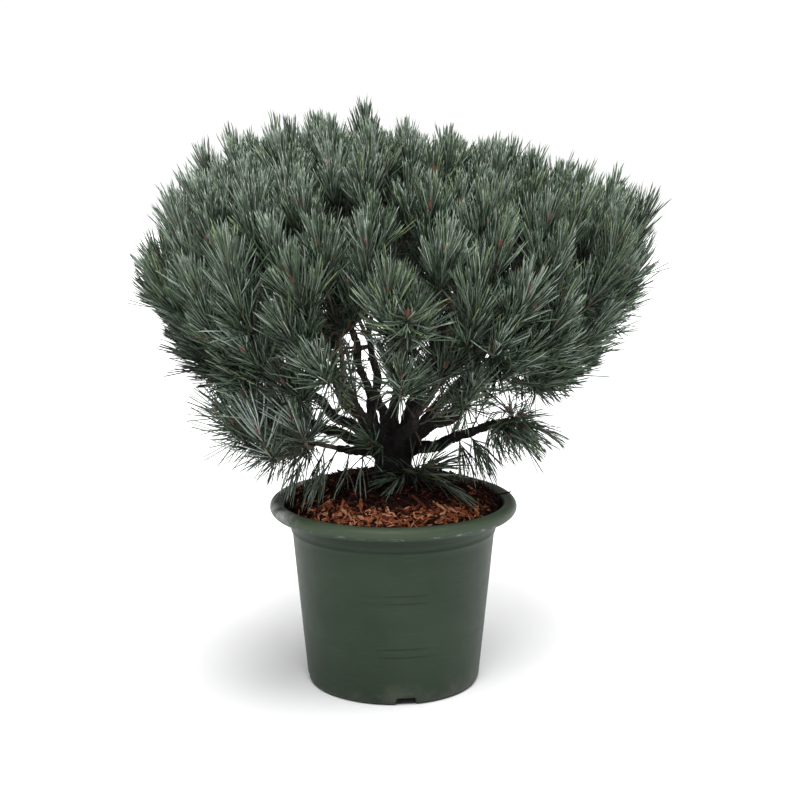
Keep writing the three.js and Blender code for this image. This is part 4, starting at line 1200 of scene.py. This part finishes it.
def potFinish():
    plastic = Finish("greenPlastic", Specular_IOR_Level=0.22)
    mix, span, fleck = plastic.mix, plastic.range, plastic.noise
    place = plastic.place()
    height, side = plastic.split(place, 2), plastic.split(place, 0)
    streaks = fleck(30, 4, 0.6, plastic.stretched(1, 1, 9))
    base = mix(span(fleck(9, 4, 0.55), 0.3, 0.7), pot["green"], pot["greenPale"])
    base = mix(span(streaks, 0.52, 0.72) * 0.35, base, pot["streak"])
    strokes = span(fleck(11, 2, 0.4, plastic.stretched(1, 1, 0.3)), 0.33, 0.5)
    strokes = strokes * span(side, -0.065, -0.03) * span(side, 0.07, 0.03)
    for line in pot["mouldLines"]:
        off = height - line / 1000
        base = mix(span(off * off, 0.0000022, 0.0000003) * strokes * 0.65, base, pot["mould"])
    # painted shade: a darker band under the rim's roll, where the lip shades the collar
    base = mix(span(height, 0.2675, 0.262) * span(height, 0.247, 0.256) * 0.6, base, pot["paintedShadeUnderLip"])
    base = mix(span(height, 0.12, 0.0) * 0.2, base, pot["low"])
    rim = span(height, 0.268, 0.286)
    worn = rim * span(fleck(150, 5, 0.7, plastic.stretched(0.5, 0.5, 5)), 0.55, 0.75)
    # painted light: the rim's top is mixed towards a lighter green, a painted sheen where light from above
    # falls on the roll
    base = mix(rim * 0.66, base, pot["rimPaintedLight"])
    base = mix(worn * 0.3, base, pot["worn"])
    # scuffs and painted highlight: a broken pale line along the roll's ledge stands for scratches and for the
    # light that the roll catches
    scuffsAndHighlight = span(fleck(55, 5, 0.7, plastic.stretched(1, 1, 3)), 0.5, 0.68)
    offLedge = height - 0.2735
    base = mix(span(offLedge * offLedge, 0.000006, 0.000001) * scuffsAndHighlight * 0.6, base, pot["scuffAndHighlight"])
    dust = span(side, -0.135, -0.163) * span(height, 0.27, 0.285) * span(fleck(38, 4, 0.6), 0.3, 0.62)
    base = mix(dust * 0.85, base, pot["dust"])
    splash = span(height, 0.05, 0.0) * span(fleck(24, 5, 0.65), 0.42, 0.7)
    plastic.feed("Base Color", mix(splash * 0.4, base, pot["splash"]))
    plastic.feed("Roughness", 0.4 + fleck(46, 4, 0.6) * 0.16 + dust * 0.25)
    plastic.bump(fleck(900, 2) * 0.4 + streaks * 0.6, 0.12, 0.0012)
    return plastic


potFinish().on(makePot())


# Bark chips on the mulch's bed
chips = {
    "count": 6800, "length": (5, 19), "width": (1.4, 3.6), "thickness": (0.8, 1.8), "tilt": 0.3,
    "large": 240, "largeLength": (16, 36), "largeWidth": (3.4, 7.5), "reach": 163.5, "edgeLength": 14,
    # one splinter over the rim: where, which way, length, width and thickness
    "overRim": ((173.0, 15.0, 291.0), (1.0, 0.3, 0.12), 25, 4.2, 2.0),
    "tints": {
        "deep": (0.013, 0.005, 0.0045), "redBrown": (0.095, 0.024, 0.014), "rust": (0.290, 0.088, 0.036),
        "tan": (0.520, 0.235, 0.135), "umber": (0.030, 0.012, 0.009)},
    # tint shares for chips in painted shade under the crown and in painted light at the front edge; then,
    # after the large chips' weights, where that painted light falls
    "paintedShadeShares": (0.52, 0.13, 0.02, 0.003, 0.327), "paintedLightShares": (0.10, 0.20, 0.42, 0.20, 0.08),
    "largeShares": (0.5, 1.0, 1.8, 2.2, 1.0),
    "paintedLightRadius": (112, 152), "paintedLightFront": (0.6, 0.94),
}


def makeBed():
    rings, ring = mulch["bedRings"], mulch["bedRound"]
    radius = mulch["radius"] * np.linspace(0, 1, rings + 1)[1:] ** 0.9
    turn = turnsOf(ring)
    x, y = (radius[:, None] * np.cos(turn)).ravel(), (radius[:, None] * np.sin(turn)).ravel()
    bumps = np.array([noise.fractal(Vector((a, b, 0)) * 0.06, 0.8, 2.1, 4) for a, b in zip(x, y)])
    edge = np.clip((mulch["radius"] - np.hypot(x, y)) / 12, 0, 1)
    z = mulchHeight(x, y) - 2 + bumps * mulch["bedBump"] * edge
    # the hidden lower edge, well inside the pot's wall
    low = np.stack([x[-ring:], y[-ring:], np.full(ring, mulch["bedFoot"])], -1) * np.array([0.955, 0.955, 1])
    top, under = [(0, 0, mulch["mound"] - 2)], [(0, 0, mulch["bedFoot"] - 18)]
    points = np.vstack([top, np.stack([x, y, z], -1), low, under])
    here = np.arange(ring)
    neighbours = list(zip(here, (here + 1) % ring))
    faces = [(0, 1 + a, 1 + b) for a, b in neighbours]
    for base in range(1, 1 + rings * ring, ring):
        faces += [(base + a, base + ring + a, base + ring + b) for a, b in neighbours]
        faces += [(base + a, base + ring + b, base + b) for a, b in neighbours]
    last, bottom = 1 + rings * ring, len(points) - 1
    faces += [(bottom, last + b, last + a) for a, b in neighbours]
    return points, np.array(faces)


def chipMesh(at, along, across, normal, length, width, thick, rng):
    # a splinter: a six-cornered outline with torn ends, given thickness
    tear = rng.uniform(0.25, 0.9, 4)
    outline = [(-0.5, 0.5 * tear[0] - 0.25), (-0.3 * tear[1], 0.5), (0.42, 0.42 * tear[2]),
               (0.5, -0.2 * tear[3]), (0.2 * tear[0], -0.5), (-0.44, -0.4 * tear[3])]
    curl = rng.uniform(-0.12, 0.12)
    points = []
    for lift in (0.5, -0.5):
        for u, v in outline:
            rise = lift * thick * (1 - 0.5 * abs(u)) + curl * length * u * u
            points.append(at + along * u * length + across * v * width + normal * rise)
    faces = [(0, 5, 4), (0, 4, 3), (0, 3, 2), (0, 2, 1), (6, 7, 8), (6, 8, 9), (6, 9, 10), (6, 10, 11)]
    for k in range(6):
        n = (k + 1) % 6
        faces += [(k, n, 6 + n), (k, 6 + n, 6 + k)]
    return np.array(points), np.array(faces)


def chipSpot(big, rng):
    # where a chip lies, how large it is and how much painted light it takes, or nothing where the trunk
    # stands
    radius = chips["reach"] * math.sqrt(rng.random())
    turn = rng.uniform(0, 2 * math.pi)
    x, y = radius * math.cos(turn), radius * math.sin(turn)
    if math.hypot(x - trunk["lean"][0], y) < trunk["flare"] - 3:
        return None
    length = rng.uniform(*chips["largeLength" if big else "length"])
    if radius > 150:
        length = min(length, chips["edgeLength"])
    width = rng.uniform(*chips["largeWidth" if big else "width"])
    slopeX = (mulchHeight(x + 1, y) - mulchHeight(x - 1, y)) / 2
    slopeY = (mulchHeight(x, y + 1) - mulchHeight(x, y - 1)) / 2
    normal = unit(np.array([-slopeX, -slopeY, 1.0]) + rng.normal(0, chips["tilt"] * (0.6 if big else 1), 3))
    along = unit(np.cross(normal, rng.normal(size=3)))
    z = mulchHeight(x, y) + rng.uniform(-1.5, 2.6) + (1.2 if big else 0)
    thick = rng.uniform(*chips["thickness"]) * (1.5 if big else 1)
    # painted light and shade: chips near the front edge take lighter tints, the rest darker ones as if in the
    # crown's shade
    frontness = 0.5 - 0.5 * y / max(radius, 1.0)
    paintedLight = 0.06 + 0.94 * smoothstep(frontness, *chips["paintedLightFront"])
    paintedLight = smoothstep(radius, *chips["paintedLightRadius"]) * paintedLight
    return (np.array([x, y, z]), along, np.cross(normal, along), normal, length, width, thick), paintedLight


def makeMulch():
    rng = np.random.default_rng(17)
    bed = rides(meshFrom("mulchBed", *makeBed()), "bark_mulch", "mulch")
    chipFinish("mulchBed", mulch["bedColour"]).on(bed)
    names = list(chips["tints"])
    heaps = {name: [] for name in names}
    shadeMix, lightMix = np.array(chips["paintedShadeShares"]), np.array(chips["paintedLightShares"])
    for i in range(chips["count"] + chips["large"]):
        big = i >= chips["count"]
        spot = chipSpot(big, rng)
        if spot is None:
            continue
        shape, paintedLight = spot
        # painted light: the tints move from the shaded shares towards the lit ones
        shares = shadeMix + (lightMix - shadeMix) * paintedLight
        if big:
            shares = shares * np.array(chips["largeShares"])
        name = names[int(rng.choice(len(names), p=shares / shares.sum()))]
        heaps[name].append(chipMesh(*shape, rng))
    at, along, *size = chips["overRim"]
    along = unit(along)
    across = unit(np.cross(up, along))
    heaps["umber"].append(chipMesh(np.array(at), along, across, np.cross(along, across), *size, rng))
    for name, parts in heaps.items():
        piece = rides(meshFrom("chips_" + name, *join(parts), False), "bark_mulch")
        chipFinish("chips_" + name, chips["tints"][name]).on(piece)
    print("mulch laid:", sum(len(parts) for parts in heaps.values()), "chips")


def chipFinish(name, colour):
    torn = Finish(name, Roughness=0.85, Specular_IOR_Level=0.12)
    grain = torn.noise(240, 4, 0.6, torn.stretched(1, 3, 1))
    dark, pale = [c * 0.62 for c in colour], [min(c * 1.35, 1) for c in colour]
    torn.feed("Base Color", torn.mix(torn.range(grain, 0.3, 0.7), dark, pale))
    torn.bump(grain, 0.5, 0.0008)
    return torn


makeMulch()
